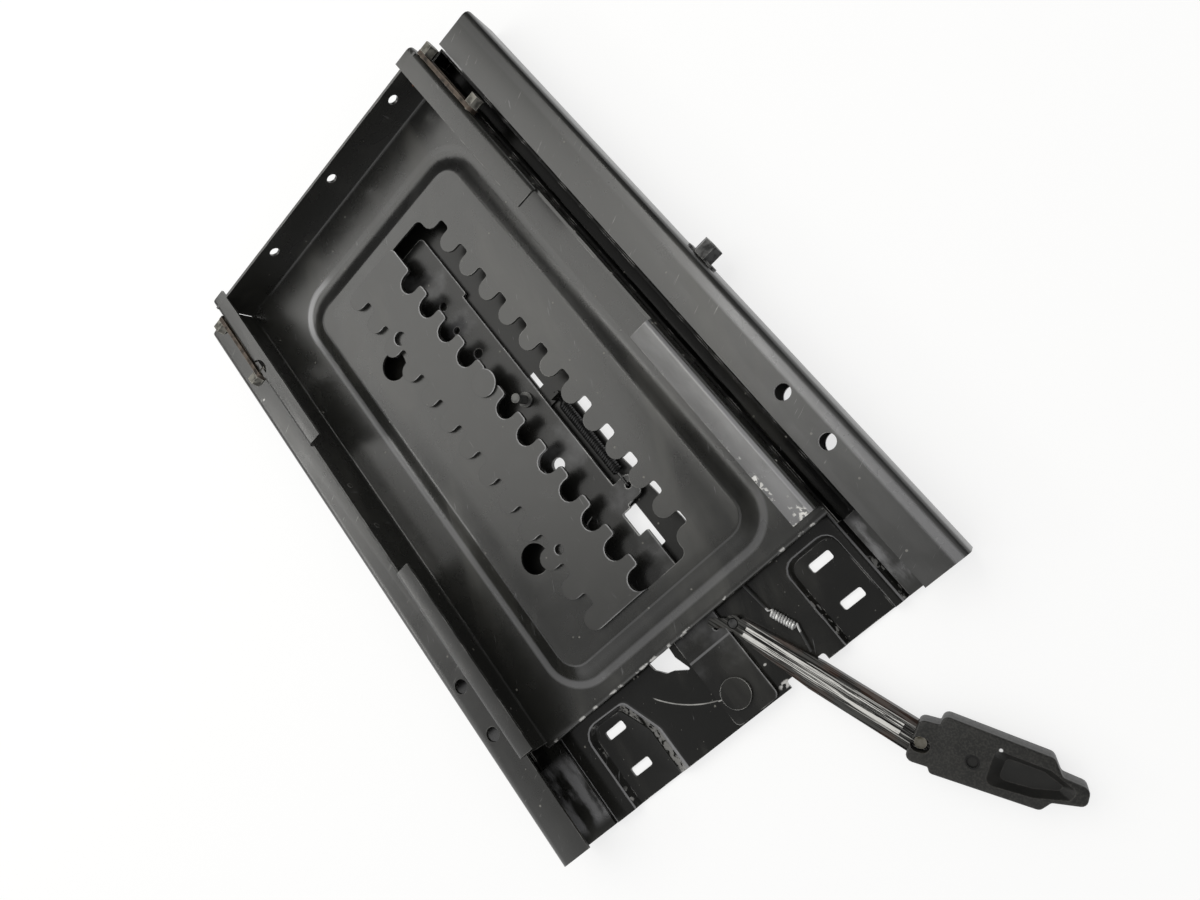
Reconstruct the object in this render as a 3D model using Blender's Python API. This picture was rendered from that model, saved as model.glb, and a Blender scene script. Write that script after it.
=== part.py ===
"""Seat slide rail: a pressed tray that slides on two rails, with a toothed rack, a latch arm and a lever.

The lever end faces -Y, the back of the seat +Y and the wide rail +X. All lengths are in metres.
"""
import math

import bpy
import bmesh
from mathutils import Matrix, Vector

MM = 0.001

# Fits
SEAT_GAP = 0.3 * MM
RUN_GAP = 0.6 * MM

# Rails
SHEET = 2.0 * MM
TRACK_WIDTH = 333.2 * MM
RAIL_TOP = 40 * MM
WIDE_STRIP = 31.6 * MM
NARROW_STRIP = 26 * MM
WIDE_FOOT = 46.3 * MM
NARROW_FOOT = 30.6 * MM
RAIL_ROLL = 5 * MM
RAIL_FOLD = 3 * MM
STRIP_HOLE_RADIUS = 5.3 * MM
STRIP_HOLE_FIRST = 97 * MM
STRIP_HOLE_STEP = 40 * MM
WIDE_HOLE_INSET = 17.2 * MM
NARROW_HOLE_INSET = 13 * MM
FOOT_HOLE_RADIUS = 7.5 * MM

# Cross plates
CROSS_LEVEL = 8 * MM
CROSS_END_INSET = 6 * MM
CROSS_CLEARANCE = 1 * MM
CROSS_RAMP = 4 * MM
FRONT_CROSS_DEPTH = 80 * MM
REAR_CROSS_INSET = 30 * MM
WING_X = (-100 * MM, -15 * MM)
WING_REACH = 101 * MM
PAD_OVERRUN = 12 * MM
PAD_SLOT = (16.8 * MM, 6.2 * MM)
PAD_SLOT_CORNER = 1.6 * MM
PAD_SLOT_ROWS = (19.1 * MM, 48.4 * MM)
RIGHT_SLOT_INSET = 74.4 * MM
LEFT_SLOT_INSET = 71.5 * MM
LEVER_NOTCH = (26.4 * MM, 57.5 * MM)
LEVER_NOTCH_DEPTH = 5 * MM
ANCHOR_TAB_WIDTH = 8 * MM
ANCHOR_TAB_HEIGHT = 7.5 * MM
ANCHOR_SLOT_X = (19.5 * MM, 23.6 * MM)
ANCHOR_SLOT_REACH = (15.8 * MM, 29 * MM)

# Tie bar, wider toward the front and cut away on its left for the window beside the arm's step
TIE_FRONT = 64 * MM
TIE_OVERLAP = 15.5 * MM
TIE_LEFT = 14.3 * MM
TIE_RIGHT = 34.1 * MM
TIE_WIDE_RIGHT = 41 * MM
TIE_TAPER = (128 * MM, 190 * MM)
TIE_WINDOW_EDGE = 21.3 * MM
TIE_WINDOW_RANGE = (123 * MM, 157 * MM)
TIE_CORNER = 1 * MM

# Sunk pads and window in the front plate, as corners (inset from the rail's outside, y, corner radius)
RIGHT_PAD_EDGE = (
    (96.6 * MM, -PAD_OVERRUN, 2 * MM), (56 * MM, -PAD_OVERRUN, 2 * MM),
    (56 * MM, 62 * MM, 10 * MM), (96.6 * MM, 62 * MM, 10 * MM),
)
RIGHT_PAD_FLOOR = (
    (92.9 * MM, -PAD_OVERRUN, 2 * MM), (58.4 * MM, -PAD_OVERRUN, 2 * MM),
    (58.4 * MM, 58 * MM, 8 * MM), (92.9 * MM, 58 * MM, 8 * MM),
)
LEFT_PAD_EDGE = (
    (50.9 * MM, -PAD_OVERRUN, 2 * MM), (105.6 * MM, -PAD_OVERRUN, 2 * MM),
    (105.6 * MM, 30 * MM, 10 * MM), (94 * MM, 61 * MM, 6 * MM), (50.9 * MM, 63 * MM, 12 * MM),
)
LEFT_PAD_FLOOR = (
    (55.6 * MM, -PAD_OVERRUN, 2 * MM), (92.4 * MM, -PAD_OVERRUN, 2 * MM),
    (92.6 * MM, 35 * MM, 8 * MM), (82.4 * MM, 57 * MM, 5 * MM), (55.6 * MM, 58 * MM, 8 * MM),
)
PLATE_WINDOW = (
    (123.6 * MM, 74 * MM, 2 * MM), (125.5 * MM, 61.9 * MM, 2 * MM), (131 * MM, 55.6 * MM, 3 * MM),
    (136.2 * MM, 54 * MM, 3 * MM), (147.2 * MM, 47 * MM, 1 * MM), (142.8 * MM, 60.1 * MM, 2 * MM),
    (143.7 * MM, 74 * MM, 2 * MM),
)

# Tray
TRAY_LEFT_INSET = 28.5 * MM
TRAY_RIGHT_INSET = 45.7 * MM
TRAY_FRONT = 67 * MM
TRAY_FLOOR = 19 * MM
TRAY_TOP = 55 * MM
TRAY_FOLD = 4 * MM
FLANGE_FOLD = 1.5 * MM
WALL_SEAM = 8 * MM
LEFT_FLAP = 14 * MM
RIGHT_FLAP = 17 * MM
FLAP_FRONT_LENGTH = 159 * MM
FLAP_REAR_LENGTH = 150 * MM
FLAP_OVERHANG = 6 * MM
FLAP_EAR = 9 * MM
FRONT_FLANGE_DROP = 4 * MM
REAR_HOLE_RADIUS = 4 * MM
REAR_HOLE_X = 6 * MM
REAR_HOLE_STEP = 77 * MM
REAR_HOLE_LEVEL = 44 * MM
FLAP_SCALLOP_RADIUS = 9 * MM

# Raised panel
PANEL_RISE = 5 * MM
PANEL_SIDE_MARGINS = (37.2 * MM, 26.4 * MM)
PANEL_END_MARGINS = (12.7 * MM, 43.3 * MM)
PANEL_RADIUS = 14 * MM
PANEL_BEVEL = 16 * MM
PANEL_HOLE_RADIUS = 11.2 * MM
PANEL_HOLES = ((29.3 * MM, 359.4 * MM), (28.7 * MM, 172 * MM))

# Toothed rows, which share one wave: round gaps or bulbs, with narrow flat ends between
TOOTH_PITCH = 25.7 * MM
TOOTH_COUNT = 12
ROW_MARGINS = (16.6 * MM, 20 * MM)
ROUND_RADIUS = 7.85 * MM
WAVE_DEPTH = 14.2 * MM
WAVE_CORNER = 2.2 * MM
SLOT_CORNER = 5 * MM
SLOT_ROW_X = 33.4 * MM
RACK_RIGHT_X = -10.8 * MM
RACK_LEFT_X = -53.3 * MM
RACK_THICKNESS = 3 * MM
RACK_HOLES = ((-36.2 * MM, 369.4 * MM, 5.4 * MM), (-35.4 * MM, 164 * MM, 3.6 * MM))
RIVET_NOTCH = 7
RIVET_X = -4.2 * MM
RIVET_RADIUS = 10.5 * MM
RIVET_BOSS_RADIUS = 5.5 * MM
RIVET_HEAD = 1.6 * MM

# Runners and slide pads
RUNNER_SHEET = 1.6 * MM
RUNNER_LEVEL = 22 * MM
RUNNER_TOP = 36.8 * MM
RUNNER_NOSE = 9 * MM
RUNNER_END = 1.5 * MM
STRIP_CLEARANCE = 1.2 * MM
LEFT_RUNNER_WIDTH = 14.2 * MM
RUNNER_FOLD = 1.6 * MM
PAD_LENGTH = 36 * MM
PAD_WIDTH = 10 * MM
RIGHT_PAD_OFFSET = 6.5 * MM
LEFT_PAD_OFFSET = 9 * MM
PAD_CENTRES = {"front": 120 * MM, "rear": 330 * MM}

# Rear clamps and bolts
CLAMP_THICKNESS = 3 * MM
CLAMP_HEIGHT = 10 * MM
CLAMP_CORNER = 3 * MM
CLAMP_SLOT = (30 * MM, 4.4 * MM)
RIGHT_BOLT_INSET = 6.2 * MM
LEFT_BOLT_INSET = 12.5 * MM
BOLT_STEP = 58.3 * MM
BOLT_LEVEL = 49.8 * MM
BOLT_FLATS = 10 * MM
BOLT_HEAD = 7.5 * MM
BOLT_SHANK_RADIUS = 3 * MM
BOLT_SHANK_PAST = 3 * MM
HOLE_CLEARANCE = 0.3 * MM

# Side standoff
STANDOFF_Y = 241 * MM
STANDOFF_Z = 25 * MM
STANDOFF_FLATS = 14 * MM
STANDOFF_LENGTH = 11.5 * MM
STANDOFF_BORE_RADIUS = 4 * MM
STANDOFF_FOOT = (24 * MM, 9 * MM, 1.5 * MM)

# Latch arm
ARM_PIVOT = (-3.3 * MM, 18.3 * MM)
ARM_THICKNESS = 3 * MM
ARM_EDGE = 18.6 * MM
ARM_WIDE_EDGE = 22 * MM
ARM_WIDE_START = 363 * MM
ARM_LEFT = -17 * MM
ARM_REAR = 425 * MM
ARM_FRONT = 1 * MM
ARM_CORNER = 4 * MM
ARM_SMALL_CORNER = 1 * MM
ARM_STEP = (10.9 * MM, 136.7 * MM, 155.5 * MM)
ARM_LUG = (33 * MM, 158 * MM, 175 * MM)
ARM_HOLES = (
    (1.2 * MM, 369.3 * MM, 3.2 * MM),
    (-2.1 * MM, 347.1 * MM, 2.8 * MM),
    (0.4 * MM, 320.7 * MM, 3.7 * MM),
    (-3.6 * MM, 213.8 * MM, 5.0 * MM),
)
ARM_RIVET_SHANK = 5 * MM
ARM_RIVET_HEAD = 10.5 * MM
TAIL_SHARE = 1.5
LUG_HOLE_Y = 168 * MM
LUG_HOLE_RADIUS = 2.4 * MM
DRIVE_SLOT = ((11.3 * MM, 15.9 * MM), (56 * MM, 64.2 * MM), 2.2 * MM)
LOCK_PIN_RADIUS = 3.4 * MM
LOCK_COLLAR = (5.6 * MM, 1.8 * MM)
LOCK_STUD_RADIUS = 2.6 * MM
LOCK_NOTCH = 6

# Lever
LEVER_PIVOT = (24.6 * MM, 53.1 * MM)
LEVER_ANGLE = math.radians(20.8)
LEVER_LENGTH = 136 * MM
LEVER_HEIGHT = 4.6 * MM
LEVER_WALL = 1.8 * MM
LEVER_ROOT_WIDTH = 11 * MM
LEVER_END_WIDTH = 19.5 * MM
LEVER_SHOULDER = 60 * MM
LEVER_CORNER = 2 * MM
LEVER_RING_RADIUS = 5.4 * MM
LEVER_PIN_RADIUS = 3 * MM
RIB_WIDTH = 2.6 * MM
RIB_SPACING = 4.6 * MM
RIB_HEIGHT = 0.9 * MM
RIB_RANGE = (9 * MM, 116 * MM)
DRIVE_PIN_REACH = (-11 * MM, 8.5 * MM)
DRIVE_PIN_RADIUS = 1.8 * MM
TONGUE_WIDTH = 6.2 * MM
TONGUE_PAST = 2.7 * MM

# Grip, whose plan is given as (distance from the screw, side offset, corner radius)
SCREW_DISTANCE = 128 * MM
GRIP_ANGLE = math.radians(36.5)
GRIP_BASE = 6.4 * MM
GRIP_HEIGHT = 15 * MM
GRIP_EDGE = 1.8 * MM
GRIP_POCKET_DEPTH = 5.5 * MM
GRIP_SCREW_RADIUS = 3.6 * MM
GRIP_SLOT = (11 * MM, 9.2 * MM, 4.3 * MM)
SCREW_SHANK_RADIUS = 2 * MM
SCREW_HEAD = 3 * MM
DIMPLE_DISTANCE = 28.4 * MM
DIMPLE_RADIUS = 3.2 * MM
GRIP_PLAN = (
    (-7 * MM, -11.5 * MM, 4 * MM), (-3 * MM, 14.2 * MM, 4 * MM), (8 * MM, 14.8 * MM, 1 * MM),
    (9 * MM, 20.8 * MM, 4 * MM), (67.5 * MM, 16.4 * MM, 4 * MM), (73 * MM, 7.6 * MM, 3 * MM),
    (87 * MM, 6 * MM, 4 * MM), (87 * MM, -4.2 * MM, 4 * MM), (70.5 * MM, -8 * MM, 2.5 * MM),
    (66 * MM, -14.1 * MM, 4 * MM), (8 * MM, -14.5 * MM, 2.5 * MM), (6.4 * MM, -11.3 * MM, 1 * MM),
)
THUMB_PLAN = (
    (36 * MM, -10 * MM, 4 * MM), (38 * MM, 11.5 * MM, 4 * MM), (67 * MM, 9.5 * MM, 4 * MM),
    (82 * MM, 2.5 * MM, 3 * MM), (79 * MM, -3.5 * MM, 3 * MM), (62 * MM, -8.5 * MM, 4 * MM),
)
THUMB_FLOOR = (
    (43 * MM, -6 * MM, 3 * MM), (45 * MM, 7 * MM, 3 * MM), (64 * MM, 6 * MM, 3 * MM),
    (75 * MM, 1.5 * MM, 1.5 * MM), (73 * MM, -1.5 * MM, 1.5 * MM), (61 * MM, -5 * MM, 3 * MM),
)

# Springs
SPRING_WIRE = 0.8 * MM
COIL_GAP = 0.3 * MM
HOOK_LEAD = 2.5 * MM
LATCH_SPRING_RADIUS = 4.2 * MM
LATCH_SPRING_X = 27.4 * MM
LATCH_SPRING_LEVEL = 10.4 * MM
LATCH_SPRING_LENGTH = 63 * MM
LATCH_SPRING_LEADS = (13 * MM, 7 * MM)
RETURN_SPRING_RADIUS = 3 * MM
RETURN_LEVEL = 11.6 * MM
RETURN_ANCHOR = (44.5 * MM, 76 * MM)
RETURN_BODY = ((48.6 * MM, 43 * MM), (54.8 * MM, 27.5 * MM))
RETURN_END = (52.6 * MM, 10 * MM)

# Values worked out from the sizes above
HALF_TRACK = TRACK_WIDTH / 2
RAIL_FOOT = SHEET + SEAT_GAP
WIDE_EDGE = HALF_TRACK - WIDE_STRIP
TRAY_LEFT = TRAY_LEFT_INSET - HALF_TRACK
TRAY_RIGHT = HALF_TRACK - TRAY_RIGHT_INSET
PANEL_FRONT = TRAY_FRONT + PANEL_END_MARGINS[0]
TOOTH_START = PANEL_FRONT + PANEL_BEVEL + ROW_MARGINS[0]
ROW_LENGTH = TOOTH_COUNT * TOOTH_PITCH
ROW_FRONT = TOOTH_START - ROUND_RADIUS
ROW_REAR = TOOTH_START + ROW_LENGTH + ROUND_RADIUS
PANEL_REAR = TOOTH_START + ROW_LENGTH + ROW_MARGINS[1] + PANEL_BEVEL
PANEL_LEFT = TRAY_LEFT + PANEL_SIDE_MARGINS[0]
PANEL_RIGHT = TRAY_RIGHT - PANEL_SIDE_MARGINS[1]
TRAY_REAR = PANEL_REAR + PANEL_END_MARGINS[1]
RAIL_LENGTH = TRAY_REAR
REAR_CROSS_END = RAIL_LENGTH - REAR_CROSS_INSET
REAR_CROSS_START = LUG_HOLE_Y + LATCH_SPRING_LENGTH + sum(LATCH_SPRING_LEADS)
RIGHT_BOLT_ROWS = (TRAY_REAR - RIGHT_BOLT_INSET, TRAY_REAR - RIGHT_BOLT_INSET - BOLT_STEP)
LEFT_BOLT_ROWS = (TRAY_REAR - LEFT_BOLT_INSET, TRAY_REAR - LEFT_BOLT_INSET - BOLT_STEP)
PANEL_TOP = TRAY_FLOOR + PANEL_RISE
RACK_BASE = PANEL_TOP + SEAT_GAP
RACK_TOP = RACK_BASE + RACK_THICKNESS
ARM_BASE = CROSS_LEVEL + RUN_GAP
ARM_TOP = ARM_BASE + ARM_THICKNESS
RUNNER_BASE = RUNNER_LEVEL - RUNNER_SHEET
PAD_FLOOR = RAIL_FOOT + SHEET + SEAT_GAP
LEVER_BASE = CROSS_LEVEL + RUN_GAP + SEAT_GAP
LEVER_TOP = LEVER_BASE + LEVER_HEIGHT
LEVER_AXIS = Vector((math.sin(LEVER_ANGLE), -math.cos(LEVER_ANGLE)))
LEVER_SIDE = Vector((-LEVER_AXIS.y, LEVER_AXIS.x))
LOCK_PIN_X = RACK_RIGHT_X + WAVE_DEPTH + LOCK_PIN_RADIUS + RUN_GAP
LOCK_PIN_Y = TOOTH_START + LOCK_NOTCH * TOOTH_PITCH

ARC_STEPS = 4
CORNER_STEPS = 2
ROUND_STEPS = 24
WIRE_SIDES = 6
COIL_STEPS = 12

# A stamped pan's bevel from its foot to its flat, as shares of the way and of the rise
PAN_PROFILE = ((0, 0), (0.15, 0.02), (0.35, 0.16), (0.6, 0.5), (0.85, 0.86), (0.96, 0.98), (1, 1), (1.05, 1))


def clear_scene():
    for item in list(bpy.data.objects):
        bpy.data.objects.remove(item, do_unlink=True)


def paint(name, colour, roughness, metallic=0.0):
    material = bpy.data.materials.new(name)
    material.use_nodes = True
    shader = material.node_tree.nodes["Principled BSDF"]
    shader.inputs["Base Color"].default_value = (*colour, 1.0)
    shader.inputs["Roughness"].default_value = roughness
    shader.inputs["Metallic"].default_value = metallic
    return material


def make_object(name, mesh_builder, origin=(0, 0, 0)):
    """Turns a bmesh in world coordinates into an object whose origin is the given point."""
    bmesh.ops.recalc_face_normals(mesh_builder, faces=mesh_builder.faces[:])
    bmesh.ops.translate(mesh_builder, verts=mesh_builder.verts[:], vec=-Vector(origin))
    mesh = bpy.data.meshes.new(name)
    mesh_builder.to_mesh(mesh)
    mesh_builder.free()
    item = bpy.data.objects.new(name, mesh)
    item.location = origin
    bpy.context.scene.collection.objects.link(item)
    return item


def finish(item, material):
    item.data.materials.append(material)
    return item


def add_prism(builder, outline, axis, low, high):
    """Extrudes an outline along an axis; the outline is (x, y), (x, z) or (y, z)."""
    def point(pair, level):
        u, v = pair
        return {"z": (u, v, level), "y": (u, level, v), "x": (level, u, v)}[axis]

    bottom = [builder.verts.new(point(pair, low)) for pair in outline]
    top = [builder.verts.new(point(pair, high)) for pair in outline]
    builder.faces.new(bottom)
    builder.faces.new(list(reversed(top)))
    count = len(outline)
    for index in range(count):
        after = (index + 1) % count
        builder.faces.new((bottom[after], bottom[index], top[index], top[after]))


def prism(name, outline, axis, low, high, origin=(0, 0, 0)):
    builder = bmesh.new()
    add_prism(builder, outline, axis, low, high)
    return make_object(name, builder, origin)


def box_outline(x0, x1, y0, y1):
    return [(x0, y0), (x1, y0), (x1, y1), (x0, y1)]


def arc(centre, radius, start, end, steps):
    """Points on an arc from one angle to another, in degrees."""
    points = []
    for index in range(steps + 1):
        angle = math.radians(start + (end - start) * index / steps)
        points.append((centre[0] + radius * math.cos(angle), centre[1] + radius * math.sin(angle)))
    return points


def circle(centre, radius, steps=ROUND_STEPS):
    return arc(centre, radius, 0, 360 * (steps - 1) / steps, steps - 1)


def rounded_rectangle(centre, size, radius, steps=5):
    half_x, half_y = size[0] / 2 - radius, size[1] / 2 - radius
    corners = ((1, 1, 0), (-1, 1, 90), (-1, -1, 180), (1, -1, 270))
    points = []
    for side_x, side_y, start in corners:
        middle = (centre[0] + side_x * half_x, centre[1] + side_y * half_y)
        points += arc(middle, radius, start, start + 90, steps)
    return points


def inset_corners(side, corners):
    """Turns insets from a rail's outside into x; side is +1 for the wide rail and -1 for the narrow one."""
    return rounded_polygon([(side * (HALF_TRACK - inset), y, radius) for inset, y, radius in corners])


def slot_outline(centre, length, width, steps=4):
    reach = (length - width) / 2
    right = arc((centre[0] + reach, centre[1]), width / 2, -90, 90, steps)
    left = arc((centre[0] - reach, centre[1]), width / 2, 90, 270, steps)
    return right + left


def hexagon(centre, flats):
    """Six corners, with one flat up."""
    return arc(centre, flats / math.sqrt(3), 0, 300, 5)


def rounded_polygon(corners, steps=4):
    """Rounds each (x, y, radius) corner of a closed outline; every corner gives the same number of points."""
    points = []
    count = len(corners)
    for index, (x, y, radius) in enumerate(corners):
        spot = Vector((x, y))
        before = (Vector(corners[index - 1][:2]) - spot).normalized()
        after = (Vector(corners[(index + 1) % count][:2]) - spot).normalized()
        half = before.angle(after) / 2
        reach = radius / math.tan(half)
        hub = spot + (before + after).normalized() * (radius / math.sin(half))
        start = spot + before * reach - hub
        turn = -start.angle_signed(spot + after * reach - hub)
        for step in range(steps + 1):
            points.append(tuple(hub + Matrix.Rotation(turn * step / steps, 2) @ start))
    return points


def folded_outline(path, thickness, radii, steps=3):
    """Closed section of a folded sheet whose middle line follows the path, with one radius per corner."""
    middle = [(Vector(path[0]), (Vector(path[1]) - Vector(path[0])).normalized())]
    for before, corner, after, radius in zip(path, path[1:], path[2:], radii):
        corner = Vector(corner)
        way_in = (corner - Vector(before)).normalized()
        way_out = (Vector(after) - corner).normalized()
        turn = way_in.angle_signed(way_out)
        reach = radius * math.tan(abs(turn) / 2)
        side = Vector((way_in.y, -way_in.x)) * (1 if turn > 0 else -1)
        hub = corner - way_in * reach + side * radius
        for index in range(steps + 1):
            spin = Matrix.Rotation(-turn * index / steps, 2)
            middle.append((hub - spin @ side * radius, spin @ way_in))
    middle.append((Vector(path[-1]), (Vector(path[-1]) - Vector(path[-2])).normalized()))
    left, right = [], []
    for spot, way in middle:
        across = Vector((-way.y, way.x)) * (thickness / 2)
        left.append(tuple(spot + across))
        right.append(tuple(spot - across))
    return left + right[::-1]


def tool(item, target, operation):
    """Hides a helper solid and uses it on the target."""
    item.hide_render = True
    item.display_type = "WIRE"
    modifier = target.modifiers.new(item.name, "BOOLEAN")
    modifier.operation = operation
    modifier.solver = "EXACT"
    modifier.object = item


def cut(target, item):
    tool(item, target, "DIFFERENCE")


def join(target, item):
    tool(item, target, "UNION")


def smooth(item, angle=40):
    item.data.shade_smooth()
    item.data.set_sharp_from_angle(angle=math.radians(angle))


def stamped_pan(name, outer, inner, level, rise):
    """A sheet whose flat middle lies higher or lower than its edge, with a soft bevel between."""
    builder = bmesh.new()
    skins = []
    for drop in (0, SHEET):
        skin = []
        for share, rise_share in PAN_PROFILE:
            height = level - drop + rise * rise_share
            ring = []
            for edge, middle in zip(outer, inner):
                x, y = Vector(edge).lerp(Vector(middle), share)
                ring.append(builder.verts.new((x, y, height)))
            skin.append(ring)
        skins.append(skin)
    count = len(outer)
    bands = [pair for skin in skins for pair in zip(skin, skin[1:])]
    bands.append((skins[0][0], skins[1][0]))
    for first, second in bands:
        for index in range(count):
            after = (index + 1) % count
            builder.faces.new((first[index], first[after], second[after], second[index]))
    builder.faces.new(skins[0][-1])
    builder.faces.new(skins[1][-1])
    bmesh.ops.triangulate(builder, faces=[face for face in builder.faces if len(face.verts) == 4])
    return make_object(name, builder)


def press_pan(target, name, outer, inner, level, rise):
    """Replaces a flat area of a sheet with a stamped pan."""
    cut(target, prism(name + "_window", outer, "z", level - 2 * SHEET, level + SHEET))
    join(target, stamped_pan(name, outer, inner, level, rise))


def wave(x_round, count):
    """A toothed edge from the first round's middle upward: rounds at the low x, flat ends at the high x."""
    hub = x_round + ROUND_RADIUS
    flat_hub = x_round + WAVE_DEPTH - WAVE_CORNER
    points = []
    for index in range(count):
        y_low = TOOTH_START + index * TOOTH_PITCH
        y_high = y_low + TOOTH_PITCH
        points += arc((hub, y_low), ROUND_RADIUS, 180, 90, ARC_STEPS)
        lower = (flat_hub, y_low + ROUND_RADIUS + WAVE_CORNER)
        upper = (flat_hub, y_high - ROUND_RADIUS - WAVE_CORNER)
        points += arc(lower, WAVE_CORNER, -90, 0, CORNER_STEPS)
        points += arc(upper, WAVE_CORNER, 0, 90, CORNER_STEPS)
        points += arc((hub, y_high), ROUND_RADIUS, 270, 180, ARC_STEPS)[:-1]
    points.append((x_round, TOOTH_START + count * TOOTH_PITCH))
    return points


def wire(name, path, origin):
    """Round wire along a path of vectors, closed at both ends."""
    builder = bmesh.new()
    rings = []
    across = Vector((0.3, 0.2, 1))
    last = len(path) - 1
    for index, spot in enumerate(path):
        way = (path[min(index + 1, last)] - path[max(index - 1, 0)]).normalized()
        across = (across - way * across.dot(way)).normalized()
        rise = way.cross(across)
        ring = []
        for side in range(WIRE_SIDES):
            angle = 2 * math.pi * side / WIRE_SIDES
            offset = (across * math.cos(angle) + rise * math.sin(angle)) * SPRING_WIRE
            ring.append(builder.verts.new(spot + offset))
        rings.append(ring)
    for low, high in zip(rings, rings[1:]):
        for side in range(WIRE_SIDES):
            after = (side + 1) % WIRE_SIDES
            builder.faces.new((low[side], low[after], high[after], high[side]))
    builder.faces.new(rings[0][::-1])
    builder.faces.new(rings[-1])
    return make_object(name, builder, origin)


def coil(start, end, radius):
    """Points of a close-wound coil between two centres."""
    way = end - start
    across = Vector((0, 0, 1)).cross(way).normalized()
    rise = way.normalized().cross(across)
    turns = round(way.length / (2 * SPRING_WIRE + COIL_GAP))
    points = []
    for index in range(turns * COIL_STEPS + 1):
        angle = 2 * math.pi * index / COIL_STEPS
        swing = across * math.cos(angle) + rise * math.sin(angle)
        points.append(start + way * index / (turns * COIL_STEPS) + swing * radius)
    return points


def drill(target, name, spots, radius, axis, low, high):
    """Round holes through one sheet, each at its own place."""
    builder = bmesh.new()
    for spot in spots:
        add_prism(builder, circle(spot, radius), axis, low, high)
    cut(target, make_object(name, builder))


def build_rail(name, side, material):
    """A rail that is open toward the tray; side is +1 for the wide rail and -1 for the narrow one."""
    wide = side > 0
    strip = WIDE_STRIP if wide else NARROW_STRIP
    foot = WIDE_FOOT if wide else NARROW_FOOT
    inset = WIDE_HOLE_INSET if wide else NARROW_HOLE_INSET
    half = SHEET / 2
    path = [
        (side * (HALF_TRACK - strip), RAIL_TOP - half),
        (side * (HALF_TRACK - half), RAIL_TOP - half),
        (side * (HALF_TRACK - half), RAIL_FOOT + half),
        (side * (HALF_TRACK - foot), RAIL_FOOT + half),
    ]
    outline = folded_outline(path, SHEET, (RAIL_ROLL - half, RAIL_FOLD - half))
    rail = prism(name, outline, "y", 0, RAIL_LENGTH)
    rows = [STRIP_HOLE_FIRST + index * STRIP_HOLE_STEP for index in range(2)]
    spots = [(side * (HALF_TRACK - inset), row) for row in rows]
    drill(rail, name + "_strip_holes", spots, STRIP_HOLE_RADIUS, "z", RAIL_TOP - 2 * SHEET, RAIL_TOP + SHEET)
    drill(rail, name + "_foot_holes", spots, FOOT_HOLE_RADIUS, "z", 0, RAIL_FOOT + 2 * SHEET)
    smooth(rail)
    return finish(rail, material)


def cross_sheet(name, start, end):
    """A plate that lies under both rails and steps up between them."""
    low, high = SHEET / 2, CROSS_LEVEL - SHEET / 2
    left_ramp = NARROW_FOOT - HALF_TRACK + CROSS_CLEARANCE
    right_ramp = HALF_TRACK - WIDE_FOOT - CROSS_CLEARANCE
    path = [
        (CROSS_END_INSET - HALF_TRACK, low), (left_ramp, low), (left_ramp + CROSS_RAMP, high),
        (right_ramp - CROSS_RAMP, high), (right_ramp, low), (HALF_TRACK - CROSS_END_INSET, low),
    ]
    return prism(name, folded_outline(path, SHEET, [SHEET] * 4), "y", start, end)


def build_base_plate(material):
    plate = cross_sheet("base_plate", -PAD_OVERRUN, FRONT_CROSS_DEPTH)
    drop = SHEET - CROSS_LEVEL
    for name, side, edge, floor in (("right_pad", 1, RIGHT_PAD_EDGE, RIGHT_PAD_FLOOR),
                                    ("left_pad", -1, LEFT_PAD_EDGE, LEFT_PAD_FLOOR)):
        press_pan(plate, name, inset_corners(side, edge), inset_corners(side, floor), CROSS_LEVEL, drop)
    trim = bmesh.new()
    add_prism(trim, box_outline(-HALF_TRACK, HALF_TRACK, -2 * PAD_OVERRUN, 0), "z", -SHEET, 2 * CROSS_LEVEL)
    cut(plate, make_object("front_trim", trim))
    builder = bmesh.new()
    for centre_x in (LEFT_SLOT_INSET - HALF_TRACK, HALF_TRACK - RIGHT_SLOT_INSET):
        for row in PAD_SLOT_ROWS:
            outline = rounded_rectangle((centre_x, row), PAD_SLOT, PAD_SLOT_CORNER)
            add_prism(builder, outline, "z", -SHEET, 2 * SHEET)
    cut(plate, make_object("pad_slots", builder))
    notch = rounded_polygon([
        (LEVER_NOTCH[0], -PAD_OVERRUN, SHEET), (LEVER_NOTCH[1], -PAD_OVERRUN, SHEET),
        (LEVER_NOTCH[1], LEVER_NOTCH_DEPTH, SHEET), (LEVER_NOTCH[0], LEVER_NOTCH_DEPTH, SHEET)])
    cut(plate, prism("lever_notch", notch, "z", 0, 2 * CROSS_LEVEL))
    cut(plate, prism("plate_window", inset_corners(-1, PLATE_WINDOW), "z", 0, 2 * CROSS_LEVEL))
    drill(plate, "arm_hole", [ARM_PIVOT], ARM_RIVET_SHANK + SEAT_GAP, "z", SHEET, CROSS_LEVEL + SHEET)
    drill(plate, "lever_hole", [LEVER_PIVOT], LEVER_PIN_RADIUS + SEAT_GAP, "z", SHEET, CROSS_LEVEL + SHEET)
    drill(plate, "spring_hole", [RETURN_ANCHOR], SPRING_WIRE + RUN_GAP, "z", SHEET, CROSS_LEVEL + SHEET)
    smooth(plate)
    return finish(plate, material)


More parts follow.
